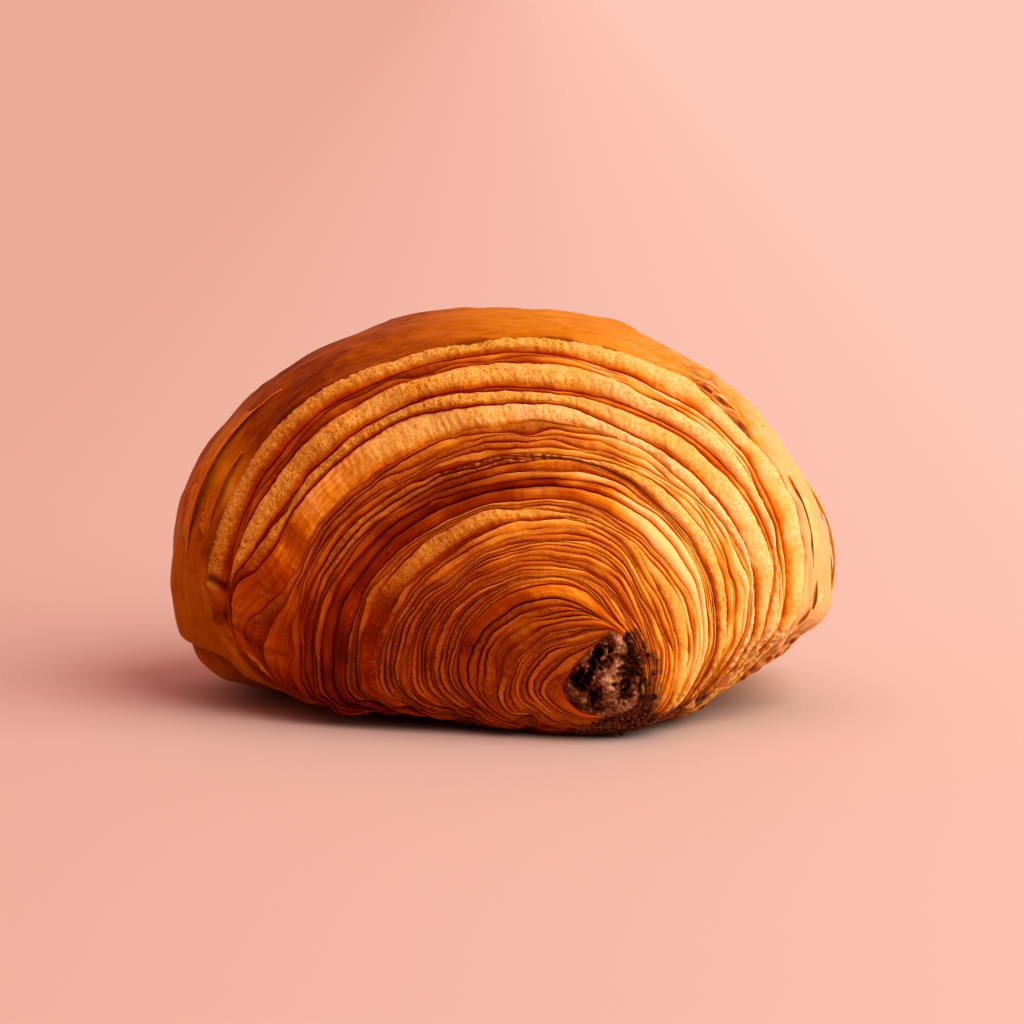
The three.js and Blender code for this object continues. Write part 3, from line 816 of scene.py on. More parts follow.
def crust_surface():
    """Points in mm and finish values of the skin."""
    station, around = skin_places()
    points = smooth_point(station, around)
    normal, _ = surface_frame(station, around)
    from_edge = np.minimum(run_length(points, axis=0), run_length(points[::-1], axis=0)[::-1])
    lip = hump(from_edge, LIP_WIDTH)
    drawn_out = squeezed(points, WRINKLE_DRAWN)
    crisp = mark(points, *CRISP_EDGE) * smoothstep(*CRISP_ALONG, points[..., 1])
    deeper = 1 + EDGE_WRINKLE * hump(from_edge, EDGE_REACH)
    deeper = deeper + FLANK_WRINKLE * smoothstep(*WRINKLED_ACROSS, points[..., 0]) + CRISP_WRINKLE * crisp
    wrinkle = layered(drawn_out, WRINKLE_LAYERS) * deeper
    front_half = smoothstep(*FRONT_HALF, points[..., 1])
    crack = mark(points, *CRUST_CRACK) * front_half
    lobe = mark(points, *LOBE_CREASE) * front_half
    height = blistered(points) + EDGE_LIP * lip + WRINKLE * wrinkle - CRACK_DEPTH * crack
    fade = smoothstep(0, TRAY_FADE, points[..., 2])
    points = points + normal * (height * fade - LOBE_DEPTH * lobe)[..., None]
    points[..., 2] = np.maximum(points[..., 2], 0)

    ragged_crack = crack * smoothstep(-0.4, 0.3, lumps(points, 1.6, 15))
    browned = BROWN_EDGE * hump(from_edge, BROWN_REACH) * smoothstep(-0.3, 0.6, lumps(points, 4, 16))
    browned += crisp * smoothstep(-0.4, 0.4, lumps(points, 1.3, 17) + 0.5 * lumps(drawn_out, 0.8, 18))
    # the tan patch, with painted light on the right flank and painted shade on the top left
    patches_and_painted_light = mark(points, *TAN_PATCH) * front_half
    patches_and_painted_light += FLANK_PAINTED_LIGHT * smoothstep(*FLANK_ACROSS, points[..., 0]) - mark(points, *CRUST_SHADE_ROUTE)
    finish = finish_of(
        points,
        relief=1 - LIP_RELIEF * lip - LOBE_RELIEF * lobe,
        gloss=1,
        toast=np.clip(CRACK_TOAST * ragged_crack + LOBE_TOAST * lobe + browned, 0, 1),
        pale=painted_side_light(points) + patches_and_painted_light,
        tone=0.5,
        strand_u=run_length(points, axis=1) * MM,
        strand_v=run_length(points, axis=0).mean(axis=1, keepdims=True) * MM,
    )
    return points, finish


crust_grid = crust_surface()
print("crust rows and columns:", crust_grid[0].shape[:2])

# %% [markdown]
# ## From the drawing to the frame
#
# The drawing is in millimetres and the frame is in metres. The outer box of everything drawn is
# laid on the box of the frame's dough, so the pieces land where the solid is.

# %% Fit to the frame
dough_grids = (front_coil, front_step, front_outer, back_inner, back_outer, crust_grid)
every_point = np.concatenate([points.reshape(-1, 3) for points, _ in dough_grids])
drawn_low, drawn_high = every_point.min(axis=0), every_point.max(axis=0)
frame_low, frame_high = np.array(DOUGH_LOW), np.array(DOUGH_HIGH)
print("drawn size in mm before the fit:", (drawn_high - drawn_low).round(2))


def to_frame(points):
    """Millimetres of the drawing to metres of the frame."""
    share = (points - drawn_low) / (drawn_high - drawn_low)
    return frame_low + share * (frame_high - frame_low)


# %% [markdown]
# ## Pieces from grids
#
# A grid from bmesh is bent over an array of points and welded to itself both ways, which makes a
# closed ring like a tyre. The hidden side of the ring is a few coarse rows inside the roll.

# %% Grid pieces
ROLL_CORE = np.array([8.0, 0.0, 22.0])  # mm, a place well inside the roll
WALL_AT = 14.0  # mm from the middle to the hidden wall of a coiled end
WALL_SHARE = 0.93  # of the way out from that core, so the wall stays hidden
CRUST_THICK = 2.2  # mm
UNDERSIDE_AT = (0.94, 0.7, 0.3, 0.06)  # shares of the crust's rows that its underside follows


def end_inside(points, way):
    """The hidden wall of a coiled end, straight across the roll from its outer to its inner side."""
    wall = ROLL_CORE + (points[[-1, 0]] - ROLL_CORE) * WALL_SHARE
    wall[..., 1] = way * WALL_AT
    return wall


def crust_inside(points):
    """The hidden underside of the crust, from the back rim to the front one."""
    flat = np.array([1, 0, 1])
    picks = [points[int(len(points) * share)] for share in UNDERSIDE_AT]
    return np.stack([p + unit((ROLL_CORE - p) * flat) * CRUST_THICK for p in picks])


def mesh_piece(name, bm):
    """A smooth object made from a bmesh, riding on the pastry."""
    mesh = bpy.data.meshes.new(name)
    bm.to_mesh(mesh)
    bm.free()
    mesh.shade_smooth()
    piece = bpy.data.objects.new(name, mesh)
    bpy.context.scene.collection.objects.link(piece)
    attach(piece, "root")
    triangles = sum(len(face.vertices) - 2 for face in mesh.polygons)
    print(name, "triangles:", triangles)
    return piece


def bend_grid(bm, points, finish, closing_rows=0):
    """Adds a grid to a bmesh, bent over an array of points in mm, with the finish of each point.

    A closing row joins the last row of points to the first.
    """
    rows, columns = points.shape[0] - 1 + closing_rows, points.shape[1] - 1
    layers = {key: bm.verts.layers.float.get(key) or bm.verts.layers.float.new(key) for key in finish}
    placed = to_frame(points)
    made = bmesh.ops.create_grid(bm, x_segments=rows, y_segments=columns, size=1)
    for vert in made["verts"]:
        row = round((vert.co.x + 1) / 2 * rows) % len(points)
        column = round((vert.co.y + 1) / 2 * columns)
        vert.co = placed[row, column]
        for key, layer in layers.items():
            vert[layer] = finish[key][row, column]


def grid_piece(name, grid, hidden):
    """A closed piece from a grid of points in mm, with the hidden rows behind it."""
    points, finish = grid
    finish = {key: np.concatenate([v, np.repeat(v[-1:], len(hidden), axis=0)]) for key, v in finish.items()}
    bm = bmesh.new()
    bend_grid(bm, np.concatenate([points, hidden]), finish, closing_rows=1)
    bmesh.ops.remove_doubles(bm, verts=bm.verts, dist=1e-8)
    bmesh.ops.recalc_face_normals(bm, faces=bm.faces)
    return mesh_piece(name, bm)


coil_leaves = grid_piece("front_coil_leaves", front_coil, end_inside(front_coil[0], -1))
step_leaves = grid_piece("front_step_leaves", front_step, end_inside(front_step[0], -1))
front_ridges = grid_piece("front_outer_ridges", front_outer, end_inside(front_outer[0], -1))
back_leaves = grid_piece("back_coil_leaves", back_inner, end_inside(back_inner[0], 1))
back_ridges = grid_piece("back_outer_ridges", back_outer, end_inside(back_outer[0], 1))
crust = grid_piece("egg_washed_crust", crust_grid, crust_inside(crust_grid[0]))

# %% [markdown]
# ## The chocolate
#
# The baton melted, set again and broke where it meets the air, so its ends are a rubble of dull
# brown lumps with black holes between them. A round grid with many rings over each end and few
# along the hidden middle puts the detail where it shows.

# %% Chocolate baton
BATON_CENTRE = np.array([15.7, 0, 10.4])  # mm across and up
BATON_COLUMNS, END_ROWS = 180, 56
BATON_REACH = 43.0  # mm from the middle to the broken ends
INTO_WALL = 1.05  # how much wider than the mouth it is, so it meets the dough all round
RAGGED_WALL, RIM_BACK = 0.06, 0.1  # how uneven that is, and mm that its rim stands back
END_BULGE, END_LUMPS, RUBBLE_ENDS = 0.5, 0.9, (1.0, 0.82)  # mm, mm, and shares of the way out
RUBBLE_LAYERS = ((0.9, 3.2, 21), (0.5, 1.5, 22), (0.3, 0.7, 23))
PALE_LUMP = ([(18.2, 15.5), (18.2, 12.5), (16.4, 10.2), (17.6, 6.8)], 1, 1.4)

# %% Holes in the broken ends
HOLLOW = ([(16.0, 14.6), (14.6, 12.6), (13.2, 10.9), (12.2, 9.4)], 1, 1.1)  # beside the pale lump
PITS = [(14.6, 7.6), (14.2, 6.0), (18.6, 11.2), (18.9, 8.8), (17.4, 9.0)]  # mm across and up
PIT_DEPTH, PIT_WIDTH, PIT_SHARE = 2.2, 0.8, 0.7  # mm, mm, and how deep a pit is beside the hollow
UNEVEN_LAYERS = ((1, 1.4, 24), (0.6, 0.6, 26))


def holes(points):
    """How deep in a hole each point is, from 0 to 1."""
    pits = [hump(np.linalg.norm(points[..., [0, 2]] - pit, axis=-1), PIT_WIDTH) for pit in PITS]
    deep = np.maximum(PIT_SHARE * np.max(pits, axis=0), mark(points, *HOLLOW))
    return deep * smoothstep(-0.5, 0.5, layered(points, UNEVEN_LAYERS))


# %% Broken ends


def broken_end(station, way):
    """(rings over one end of the baton from its middle out, in mm, how dusty each point is, with its holes
    painted darker as shade).
    """
    around = np.linspace(0, 4, BATON_COLUMNS + 1)
    around[-1] = 0
    rim = smooth_point(station, around)
    share = np.linspace(0, 1, END_ROWS)[:, None, None]
    centre = np.array([BATON_CENTRE[0], way * BATON_REACH, BATON_CENTRE[2]])
    rim[:, 1] -= way * RIM_BACK
    ragged = INTO_WALL + RAGGED_WALL * lumps(rim, 2.5, 25)
    points = centre + (rim - centre) * np.stack([ragged, 1 + 0 * ragged, ragged], axis=-1) * share
    rubble, dusty, deep = layered(points, RUBBLE_LAYERS), mark(points, *PALE_LUMP), holes(points)
    out = END_BULGE * (1 - share[..., 0] ** 2) + END_LUMPS * (rubble + 0.8 * dusty) - PIT_DEPTH * deep
    out *= smoothstep(*RUBBLE_ENDS, share[..., 0])
    points[..., 1] += way * out
    # painted shade: the holes are painted darker
    return points, np.clip(0.42 + 0.4 * dusty + 0.35 * rubble - deep, 0, 1)


front_rings, front_dust_and_shade = broken_end(0, -1)
back_rings, back_dust_and_shade = broken_end(LAST_STATION, 1)
middle_rings = [front_rings[-1] * np.array([1, share, 1]) for share in (0.5, -0.5)]
baton_points = np.concatenate([front_rings, middle_rings, back_rings[::-1]])
baton_dust_and_shade = np.concatenate([front_dust_and_shade, front_dust_and_shade[-2:], back_dust_and_shade[::-1]])
baton_bm = bmesh.new()
bend_grid(baton_bm, baton_points, {"dust_and_shade": baton_dust_and_shade})
bmesh.ops.remove_doubles(baton_bm, verts=baton_bm.verts, dist=1e-8)
bmesh.ops.recalc_face_normals(baton_bm, faces=baton_bm.faces)
baton = mesh_piece("dark_chocolate_baton", baton_bm)

# %% [markdown]
# ## Crumbs of chocolate
#
# Where the filling crept out, grains of chocolate cling to the leaves beside the mouth and under
# it. Each grain is a small ball pushed out of shape, set down on a point of the leaves that
# carries the stain. A seeded draw picks the points, so each run is alike.

# %% Crumbs
CRUMBS = 110
CRUMB_SIZES = (0.12, 0.42)  # mm from the middle to the outside
draw = random.Random(11)
stained_points = [p[(f["stain"] > 0.45) & (p[..., 2] > 0.4)] for p, f in (front_coil, front_step)]
stained_points = np.concatenate(stained_points)


def add_crumb(bm, centre, size):
    """A rough little ball round a place in mm."""
    dust_and_shade = bm.verts.layers.float.get("dust_and_shade") or bm.verts.layers.float.new("dust_and_shade")
    ball = bmesh.ops.create_icosphere(bm, subdivisions=2, radius=1)["verts"]
    rough = [1 + 0.5 * noise.noise(vert.co * 1.3 + Vector(centre)) for vert in ball]
    flattened = Vector((draw.uniform(0.7, 1.4), 0.6, draw.uniform(0.7, 1.4)))
    dusty = draw.uniform(0.0, 0.4)
    for vert, stretch in zip(ball, rough):
        vert[dust_and_shade] = dusty * stretch
        vert.co = to_frame(np.array(centre) + np.array(vert.co * flattened) * size * stretch)


crumb_bm = bmesh.new()
for _ in range(CRUMBS):
    spot = stained_points[draw.randrange(len(stained_points))] + np.array([0, -0.15, 0])
    add_crumb(crumb_bm, spot, draw.uniform(*CRUMB_SIZES))
crumbs = mesh_piece("chocolate_crumbs", crumb_bm)

# %% [markdown]
# ## Loose flakes
#
# The driest leaves lift off: a strip on the right flank bows out and shows a gap, torn edges hang
# under the right foot, and long skins peel on the left. A flake starts along a line on the roll and
# reaches away from it, either lying along the roll or standing out from it, with a ragged free edge.

# %% Flakes
# start and end (place round the ring, station), mm wide, how upright from 0 to 1, mm of bow, toast
FLAKES = [
    ((2.72, 3.90), (3.04, 3.84), 1.9, 0.12, 1.2, 0.0),
    ((2.72, 3.30), (2.98, 3.24), 1.8, 0.25, 0.5, 0.0),
    ((2.98, 3.36), (3.16, 3.28), 2.6, 0.15, 0.3, 0.0),
    ((3.12, 3.24), (3.27, 3.12), 2.0, 0.25, 0.2, 0.5),
    ((3.20, 3.02), (3.29, 2.98), 1.5, 0.9, 0.0, 0.4),
    ((3.26, 2.88), (3.33, 2.84), 1.3, 0.9, 0.0, 0.6),
    ((3.31, 2.70), (3.38, 2.66), 1.5, 0.9, 0.0, 0.4),
    ((3.36, 2.48), (3.44, 2.44), 1.4, 0.9, 0.0, 0.8),
    ((3.42, 2.22), (3.49, 2.18), 1.3, 0.9, 0.0, 0.5),
    ((1.02, 3.52), (1.52, 3.62), 2.4, 0.15, 0.5, 0.1),
    ((0.98, 3.24), (1.34, 3.30), 1.8, 0.25, 0.4, 0.2),
    ((2.50, 3.72), (2.59, 3.66), 0.9, 0.9, 0.2, 0.0),
    ((2.41, 3.16), (2.49, 3.22), 1.4, 0.4, 0.3, 0.5),
    ((2.46, 3.10), (2.54, 3.14), 1.2, 0.5, 0.2, 0.2),
    ((1.655, 2.03), (1.705, 2.04), 0.9, 0.7, 0.1, 1.0),
]
FLAKE_ROWS, FLAKE_COLUMNS = 10, 70
FLAKE_THICK = 0.16  # mm
TORN_FLAKE_LAYERS = ((0.4, 2.2, 41), (0.25, 0.8, 42))
TAPER = 0.6  # the lower, the blunter a flake's ends are
FLAKE_PAINTED_LIGHT = 0.4  # painted light: a flake is painted paler, so it reads as lit


def add_flake(bm, start, end, width, upright, bow, toast):
    """Adds one flake, from its line on the roll to its ragged free edge."""
    along = np.linspace(0, 1, FLAKE_COLUMNS + 1)[None, :]
    out = np.linspace(0, 1, FLAKE_ROWS + 1)[:, None]
    station = start[1] + (end[1] - start[1]) * along
    around = start[0] + (end[0] - start[0]) * along
    base = smooth_point(station, around)
    normal, onward = surface_frame(station, around)
    taper = np.sin(math.pi * along) ** TAPER
    away = unit(onward * (1 - upright) + normal * upright)
    reach = width * taper * layered(base, TORN_FLAKE_LAYERS, start=1) * out
    wavy = 0.2 * lumps(base, 3, 43) * out
    lift = CRUST_OUT * (1 - out) + bow * np.sin(math.pi * along) + wavy
    points = base + away * reach[..., None] + normal * lift[..., None]
    points[..., 2] = np.maximum(points[..., 2], 0.1)
    finish = finish_of(
        points,
        relief=0.7 + 0.3 * out,
        gloss=0.8,
        toast=toast,
        pale=painted_side_light(points) + FLAKE_PAINTED_LIGHT,
        tone=0.5,
        strand_u=run_length(points, axis=1) * MM,
        strand_v=width * out * MM,
    )
    bend_grid(bm, points, finish)


flake_bm = bmesh.new()
for flake in FLAKES:
    add_flake(flake_bm, *flake)
bmesh.ops.remove_doubles(flake_bm, verts=flake_bm.verts, dist=1e-8)
flakes = mesh_piece("loose_flakes", flake_bm)
thickness = flakes.modifiers.new("thickness", "SOLIDIFY")
thickness.thickness = FLAKE_THICK * MM
thickness.offset = 0

# %% [markdown]
# ## Nodes and colours
#
# Colours are written as sRGB hex values, as a colour picker shows them, and one function turns
# them to linear light. One more adds a node, sets it and links it, so a material reads as a list of
# steps.

# %% Node helpers


def linear(hex_colour):
    """An sRGB hex value such as "#c4731c" as linear red, green, blue and alpha."""
    values = [int(hex_colour[i : i + 2], 16) / 255 for i in (1, 3, 5)]
    return [v / 12.92 if v <= 0.04045 else ((v + 0.055) / 1.055) ** 2.4 for v in values] + [1.0]


def wire(tree, node, inputs):
    """Links inputs of a node to sockets, or sets them to constants."""
    for socket, value in inputs.items():
        if isinstance(value, bpy.types.NodeSocket):
            tree.links.new(value, node.inputs[socket])
        else:
            node.inputs[socket].default_value = value


def add(tree, kind, inputs=None, stops=None, **settings):
    """Adds a node, sets it, wires its inputs, and gives a colour ramp its stops."""
    made = tree.nodes.new("ShaderNode" + kind)
    for key, value in settings.items():
        setattr(made, key, value)
    wire(tree, made, inputs or {})
    for i, (place, hex_colour) in enumerate(stops or []):
        points = made.color_ramp.elements
        stop = points[i] if i < 2 else points.new(place)
        stop.position, stop.color = place, linear(hex_colour)
    return made


def new_material(name):
    """A material, its node tree and its shader."""
    material = bpy.data.materials.new(name)
    material.use_nodes = True
    return material, material.node_tree, material.node_tree.nodes["Principled BSDF"]


def cells_of(size):
    """The texture scale that gives features of a size in mm."""
    return 1 / (size * MM)


# %% [markdown]
# ## Baked dough
#
# One material serves every leaf, because the finish of each point is kept in the mesh. Streaks run
# along the strand of each leaf. Crumb shows as golden dough with small pale specks that are painted
# glints, walls between leaves are smooth and orange, and grooves are painted deep red-brown as shade.
# The dough is also painted paler towards the lamp. It is a little translucent, which lets light glow
# through thin edges.

# %% Dough: places and patterns
dough, tree, shader = new_material("baked_laminated_dough")
value = {key: add(tree, "Attribute", attribute_name=key).outputs["Fac"] for key in FINISH}
place = add(tree, "TexCoord").outputs["Object"]
strand = add(tree, "CombineXYZ", {"X": value["strand_u"], "Y": value["strand_v"]}).outputs[0]
drawn_out = add(tree, "Mapping", {"Vector": strand, "Scale": (0.06, 1.0, 1.0)}).outputs[0]


def cloudy(vector, size, rough):
    """Settings of cloudy noise with features of a size in mm."""
    return {"Vector": vector, "Scale": cells_of(size), "Detail": 4.0, "Roughness": rough}


streak = add(tree, "TexNoise", cloudy(drawn_out, 0.35, 0.7)).outputs["Fac"]
broad = add(tree, "TexNoise", cloudy(drawn_out, 1.3, 0.6)).outputs["Fac"]
grain = add(tree, "TexNoise", cloudy(place, 0.38, 0.7)).outputs["Fac"]
patch = add(tree, "TexNoise", cloudy(place, 2.5, 0.6)).outputs["Fac"]
curls = add(tree, "TexNoise", cloudy(place, 0.7, 0.6)).outputs["Fac"]
cells = add(tree, "TexVoronoi", {"Vector": place, "Scale": cells_of(0.32)})

# %% Dough: colour of the crumb and of the smooth skin


def weighed(tree, *terms):
    """The sum of values times their weights."""
    total = 0.0
    for term, weight in terms:
        total = add(tree, "Math", {0: term, 1: weight, 2: total}, operation="MULTIPLY_ADD").outputs[0]
    return total


off_middle = add(tree, "Math", {0: curls, 1: 0.5}, operation="SUBTRACT").outputs[0]
off_middle = add(tree, "Math", {0: off_middle}, operation="ABSOLUTE").outputs[0]
curly = add(tree, "MapRange", {"Value": off_middle, "From Min": 0.1, "From Max": 0.0}).outputs[0]
# painted light: the pale value makes crumb and skin paler on the side towards the lamp
tone_and_painted_light = [(value["tone"], 0.1), (value["pale"], 0.36)]
bubbles_and_painted_light = weighed(tree, (grain, 0.35), (patch, 0.3), (curly, 0.2), *tone_and_painted_light)
crumb_stops = [(0.28, "#a05e12"), (0.46, "#c88a2c"), (0.62, "#deb658"), (0.8, "#eecb84"), (0.96, "#fbe4b8")]
crumb = add(tree, "ValToRGB", {"Fac": bubbles_and_painted_light}, stops=crumb_stops).outputs[0]
mottle_and_painted_light = weighed(tree, (streak, 0.45), (broad, 0.3), (value["tone"], 0.28), (value["pale"], 0.5))
skin_stops = [(0.26, "#682001"), (0.48, "#913b01"), (0.7, "#b76802"), (0.86, "#dea02e"), (1.0, "#f4d090")]
skin = add(tree, "ValToRGB", {"Fac": mottle_and_painted_light}, stops=skin_stops).outputs[0]
top = add(tree, "Mix", {0: value["crumb"], 6: skin, 7: crumb}, data_type="RGBA").outputs[2]
# painted glints: small pale specks on the crumb stand in for glints of light
near_cell = add(tree, "MapRange", {"Value": cells.outputs[0], "From Min": 0.36, "From Max": 0.14}).outputs[0]
cell_draw = add(tree, "SeparateXYZ", {0: cells.outputs[1]}).outputs[0]
drawn_cell = add(tree, "MapRange", {"Value": cell_draw, "From Min": 0.5, "From Max": 0.8}).outputs[0]
glint_spread = {"Value": patch, "From Min": 0.47, "From Max": 0.6, "To Max": 0.5}
glint_spread = add(tree, "MapRange", glint_spread).outputs[0]
glint_spread = add(tree, "Math", {0: glint_spread, 1: value["crumb"]}, operation="MAXIMUM").outputs[0]
glint_speck = add(tree, "Math", {0: near_cell, 1: drawn_cell}, operation="MULTIPLY").outputs[0]
glint_speck = add(tree, "Math", {0: glint_speck, 1: glint_spread}, operation="MULTIPLY").outputs[0]
glint_colour = add(tree, "MixRGB", {"Fac": 0.6, "Color1": top, "Color2": linear("#ffeec0")}).outputs[0]
top = add(tree, "Mix", {0: glint_speck, 6: top, 7: glint_colour}, data_type="RGBA").outputs[2]

# %% Dough: walls and grooves under the crests, with painted shade in the grooves
thread = add(tree, "Math", {0: streak, 1: 0.9, 2: -0.45}, operation="MULTIPLY_ADD").outputs[0]
level = add(tree, "Math", {0: value["relief"], 1: thread}, operation="ADD").outputs[0]
# painted shade and light: a wall is painted darker the deeper it sinks into a groove, and paler on the side
# towards the lamp
wall_shade_level = weighed(tree, (level, 0.45), (value["pale"], 0.42), (value["tone"], 0.15))
wall_shade_stops = [(0.05, "#701c00"), (0.26, "#963200"), (0.46, "#be5a04"), (0.68, "#e08a16"), (0.9, "#f0b050")]
wall = add(tree, "ValToRGB", {"Fac": wall_shade_level}, stops=wall_shade_stops).outputs[0]
crest_range = {"Value": level, "From Min": 0.35, "From Max": 0.85}
crest = add(tree, "MapRange", crest_range, interpolation_type="SMOOTHSTEP").outputs[0]
colour = add(tree, "Mix", {0: crest, 6: wall, 7: top}, data_type="RGBA").outputs[2]

# %% Dough: toast and chocolate stains
toast_and_shade_share = add(tree, "Math", {0: value["toast"], 1: 0.85}, operation="MULTIPLY").outputs[0]
toast_and_shade_tint = {"Fac": toast_and_shade_share, "Color1": colour, "Color2": linear("#a24c12")}
colour = add(tree, "MixRGB", toast_and_shade_tint, blend_type="MULTIPLY").outputs[0]
blotch = weighed(tree, (grain, 1.0), (patch, 1.0), (value["stain"], 1.0))
stained = add(tree, "MapRange", {"Value": blotch, "From Min": 1.5, "From Max": 1.8}).outputs[0]
stain_stops = [(0.38, "#34140a"), (0.52, "#6e3e2a"), (0.68, "#a88468")]
stain = add(tree, "ValToRGB", {"Fac": grain}, stops=stain_stops).outputs[0]
colour = add(tree, "Mix", {0: stained, 6: colour, 7: stain}, data_type="RGBA").outputs[2]

# %% Dough: gloss, bumps and glow
GLOW_REACH = (1.0, 0.3, 0.08)  # red light travels furthest inside dough, blue least
rough = add(tree, "MapRange", {"Value": value["gloss"], "To Min": 0.6, "To Max": 0.4}).outputs[0]
combed = add(tree, "Bump", {"Height": streak, "Strength": 0.5, "Distance": 0.15 * MM}).outputs[0]
crumb_height = add(tree, "Math", {0: bubbles_and_painted_light, 1: value["crumb"]}, operation="MULTIPLY").outputs[0]
crumb_height = add(tree, "Math", {0: glint_speck, 1: 0.4, 2: crumb_height}, operation="MULTIPLY_ADD").outputs[0]
bumps = {"Height": crumb_height, "Strength": 0.8, "Distance": 0.3 * MM, "Normal": combed}
bumps = add(tree, "Bump", bumps).outputs[0]
wire(tree, shader, {"Base Color": colour, "Roughness": rough, "Normal": bumps, "Specular IOR Level": 0.07})
glow = {"Subsurface Weight": 0.5, "Subsurface Radius": GLOW_REACH, "Subsurface Scale": 1.6 * MM}
wire(tree, shader, glow)
print(dough.name, "nodes:", len(tree.nodes))

for piece in (coil_leaves, step_leaves, front_ridges, back_leaves, back_ridges, flakes):
    piece.data.materials.append(dough)
    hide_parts("laminated_dough")

# %% [markdown]
# ## Egg-washed crust
#
# Beaten egg brushed on the dough browns to a thin golden varnish. It is smoother and more even than
# the leaves: broad orange and brown clouds, faint streaks round the roll, and a soft shine that only
# shows where the skin turns away.

# %% Crust material
skin_varnish, tree, shader = new_material("egg_washed_crust")
used = ("toast", "pale", "strand_u", "strand_v")
value = {key: add(tree, "Attribute", attribute_name=key).outputs["Fac"] for key in used}
place = add(tree, "TexCoord").outputs["Object"]
strand = add(tree, "CombineXYZ", {"X": value["strand_u"], "Y": value["strand_v"]}).outputs[0]
drawn_out = add(tree, "Mapping", {"Vector": strand, "Scale": (0.08, 1.0, 1.0)}).outputs[0]
streak = add(tree, "TexNoise", cloudy(drawn_out, 1.0, 0.65)).outputs["Fac"]
cloud = add(tree, "TexNoise", cloudy(place, 8, 0.55)).outputs["Fac"]
blot = add(tree, "TexNoise", cloudy(place, 2.2, 0.5)).outputs["Fac"]
# painted light and shade: the pale value makes the skin paler towards the lamp and darker away from it
browned = weighed(tree, (value["pale"], 0.5), (cloud, 0.35), (blot, 0.25), (streak, 0.28))
crust_stops = [(0.26, "#82400a"), (0.46, "#ae6c08"), (0.64, "#bc8210"), (0.8, "#cf9636"), (0.94, "#e8bc84")]
colour = add(tree, "ValToRGB", {"Fac": browned}, stops=crust_stops).outputs[0]
toast_and_shade_tint = {"Fac": value["toast"], "Color1": colour, "Color2": linear("#a24c12")}
colour = add(tree, "MixRGB", toast_and_shade_tint, blend_type="MULTIPLY").outputs[0]
combed = add(tree, "Bump", {"Height": streak, "Strength": 0.6, "Distance": 0.2 * MM}).outputs[0]
wire(tree, shader, {"Base Color": colour, "Normal": combed, "Roughness": 0.45, "Specular IOR Level": 0.02})
wire(tree, shader, {"Coat Weight": 0.1, "Coat Roughness": 0.3, "Coat IOR": 1.35})
glow = {"Subsurface Weight": 0.3, "Subsurface Radius": GLOW_REACH, "Subsurface Scale": 1.5 * MM}
wire(tree, shader, glow)
print(skin_varnish.name, "nodes:", len(tree.nodes))
crust.data.materials.append(skin_varnish)
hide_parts("laminated_dough")

# %% [markdown]
# ## Chocolate
#
# Broken chocolate that has been through the oven is dull and dusty grey-brown on its lumps, where the
# cocoa butter has bloomed. Its holes and the cracks between its grains are painted nearly black as shade.

# %% Chocolate material
chocolate, tree, shader = new_material("broken_dark_chocolate")
place = add(tree, "TexCoord").outputs["Object"]
rubble = add(tree, "TexNoise", cloudy(place, 0.5, 0.75)).outputs["Fac"]
grains = add(tree, "TexVoronoi", {"Vector": place, "Scale": cells_of(0.9)})
grain_draw = add(tree, "SeparateXYZ", {0: grains.outputs[1]}).outputs[0]
lying = add(tree, "Attribute", attribute_name="dust_and_shade").outputs["Fac"]
bloom_and_shade_stops = [(0.22, "#140602"), (0.44, "#48220e"), (0.64, "#7c4d2c"), (0.92, "#c29c76")]
# painted shade: holes and the cracks between grains are painted nearly black
bloom_and_shade = weighed(tree, (rubble, 0.9), (lying, 0.55), (grain_draw, 0.1), (grains.outputs[0], -0.3))
colour = add(tree, "ValToRGB", {"Fac": bloom_and_shade}, stops=bloom_and_shade_stops).outputs[0]
crumbled_height = weighed(tree, (rubble, 0.5), (grains.outputs[0], -1.0))
crumbled = {"Height": crumbled_height, "Strength": 1.0, "Distance": 0.5 * MM}
crumbled = add(tree, "Bump", crumbled).outputs[0]
wire(tree, shader, {"Base Color": colour, "Normal": crumbled, "Roughness": 0.6, "Specular IOR Level": 0.2})
print(chocolate.name, "nodes:", len(tree.nodes))
for piece in (baton, crumbs):
    piece.data.materials.append(chocolate)
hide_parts("chocolate_filling")

# %% [markdown]
# ## Floor and light
#
# The floor is matt and pale pink, with painted light that makes it a little paler towards the lamp.
# A broad soft lamp shines from the right and from the camera's side. A pink sky, bright above and
# behind and dim elsewhere, fills the shadows.

# %% Floor
floor_bm = bmesh.new()
bmesh.ops.create_grid(floor_bm, x_segments=1, y_segments=1, size=12)
floor_mesh = bpy.data.meshes.new("floor")
floor_bm.to_mesh(floor_mesh)
floor_bm.free()
floor = bpy.data.objects.new("floor", floor_mesh)
bpy.context.scene.collection.objects.link(floor)

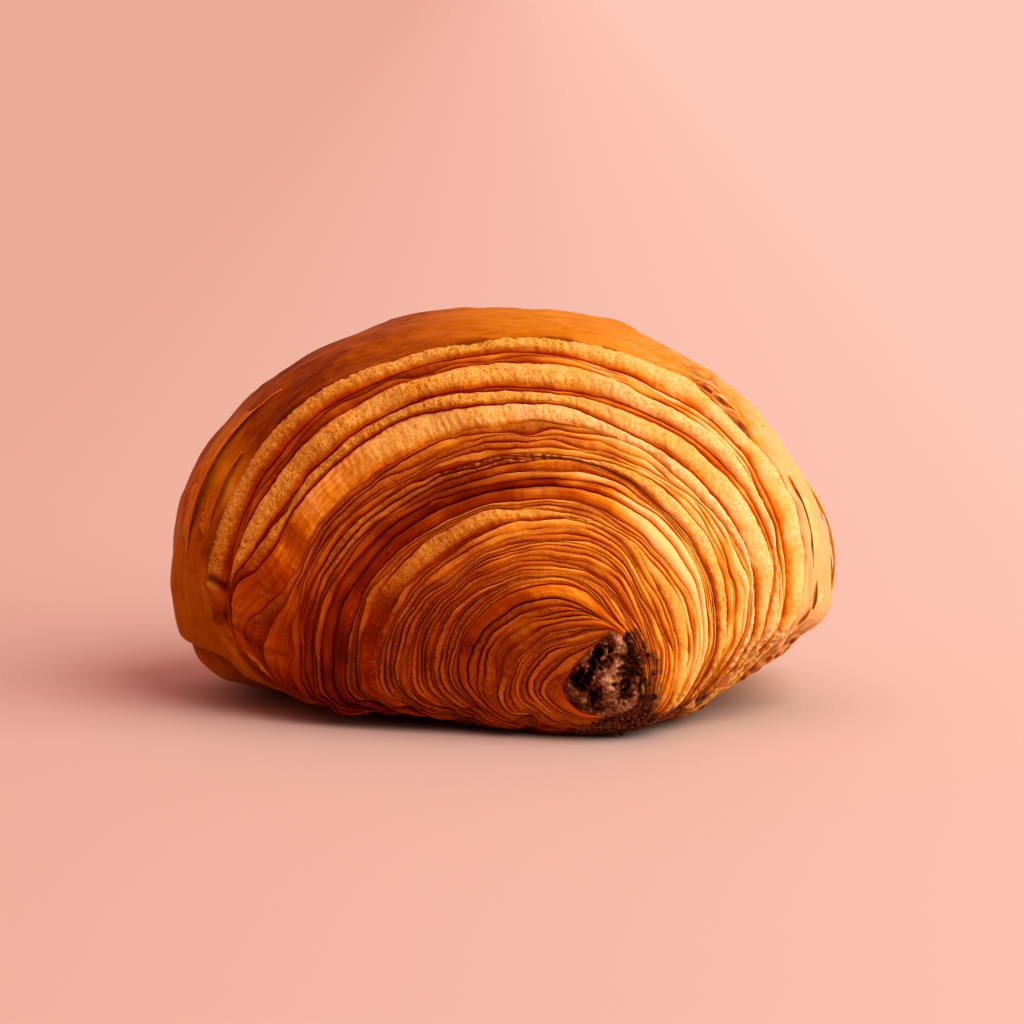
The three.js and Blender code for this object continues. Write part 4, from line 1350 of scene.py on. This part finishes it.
paper, tree, shader = new_material("matt_paper")
place = add(tree, "TexCoord").outputs["Object"]
across = add(tree, "SeparateXYZ", {0: place}).outputs["X"]
# painted light: the floor is painted paler towards the lamp on the right
towards_light = add(tree, "MapRange", {"Value": across, "From Min": -0.12, "From Max": 0.12}).outputs[0]
shades = {0: towards_light, 6: linear("#c3b4a9"), 7: linear("#d3cdc3")}
colour = add(tree, "Mix", shades, data_type="RGBA").outputs[2]
wire(tree, shader, {"Base Color": colour, "Roughness": 0.9, "Specular IOR Level": 0.2})
floor_mesh.materials.append(paper)

# %% Sky and lamp
DIM_SKY, BRIGHT_SKY = 0.33, 0.85
world = bpy.data.worlds.new("studio")
world.use_nodes = True
tree = world.node_tree
background = tree.nodes["Background"]
way_out = add(tree, "TexCoord").outputs["Generated"]
up_and_behind = {0: way_out, 1: (-0.4, 0.5, 0.77)}
facing = add(tree, "VectorMath", up_and_behind, operation="DOT_PRODUCT").outputs["Value"]
bright_part = add(tree, "MapRange", {"Value": facing, "From Min": -0.2, "From Max": 0.9}).outputs[0]
sky_shades = {0: bright_part, 6: linear("#ff7d6c"), 7: linear("#f5bdb9")}
sky = add(tree, "Mix", sky_shades, data_type="RGBA").outputs[2]
sky_range = {"Value": bright_part, "To Min": DIM_SKY, "To Max": BRIGHT_SKY}
wire(tree, background, {"Color": sky, "Strength": add(tree, "MapRange", sky_range).outputs[0]})
bpy.context.scene.world = world
bpy.context.scene.view_settings.view_transform = "Standard"
bpy.context.scene.view_settings.look = "High Contrast"

TOWARDS_LAMP = Vector((0.68, -0.44, 0.6))
LAMP_SPREAD = 70  # degrees across, as a wide soft box looks from the table
lamp = bpy.data.lights.new("key", "SUN")
lamp.energy = 2.4
lamp.angle = math.radians(LAMP_SPREAD)
lamp.color = (1.0, 0.97, 0.93)
lamp_holder = bpy.data.objects.new("key", lamp)
lamp_holder.rotation_euler = (-TOWARDS_LAMP).to_track_quat("-Z", "Y").to_euler()
bpy.context.scene.collection.objects.link(lamp_holder)
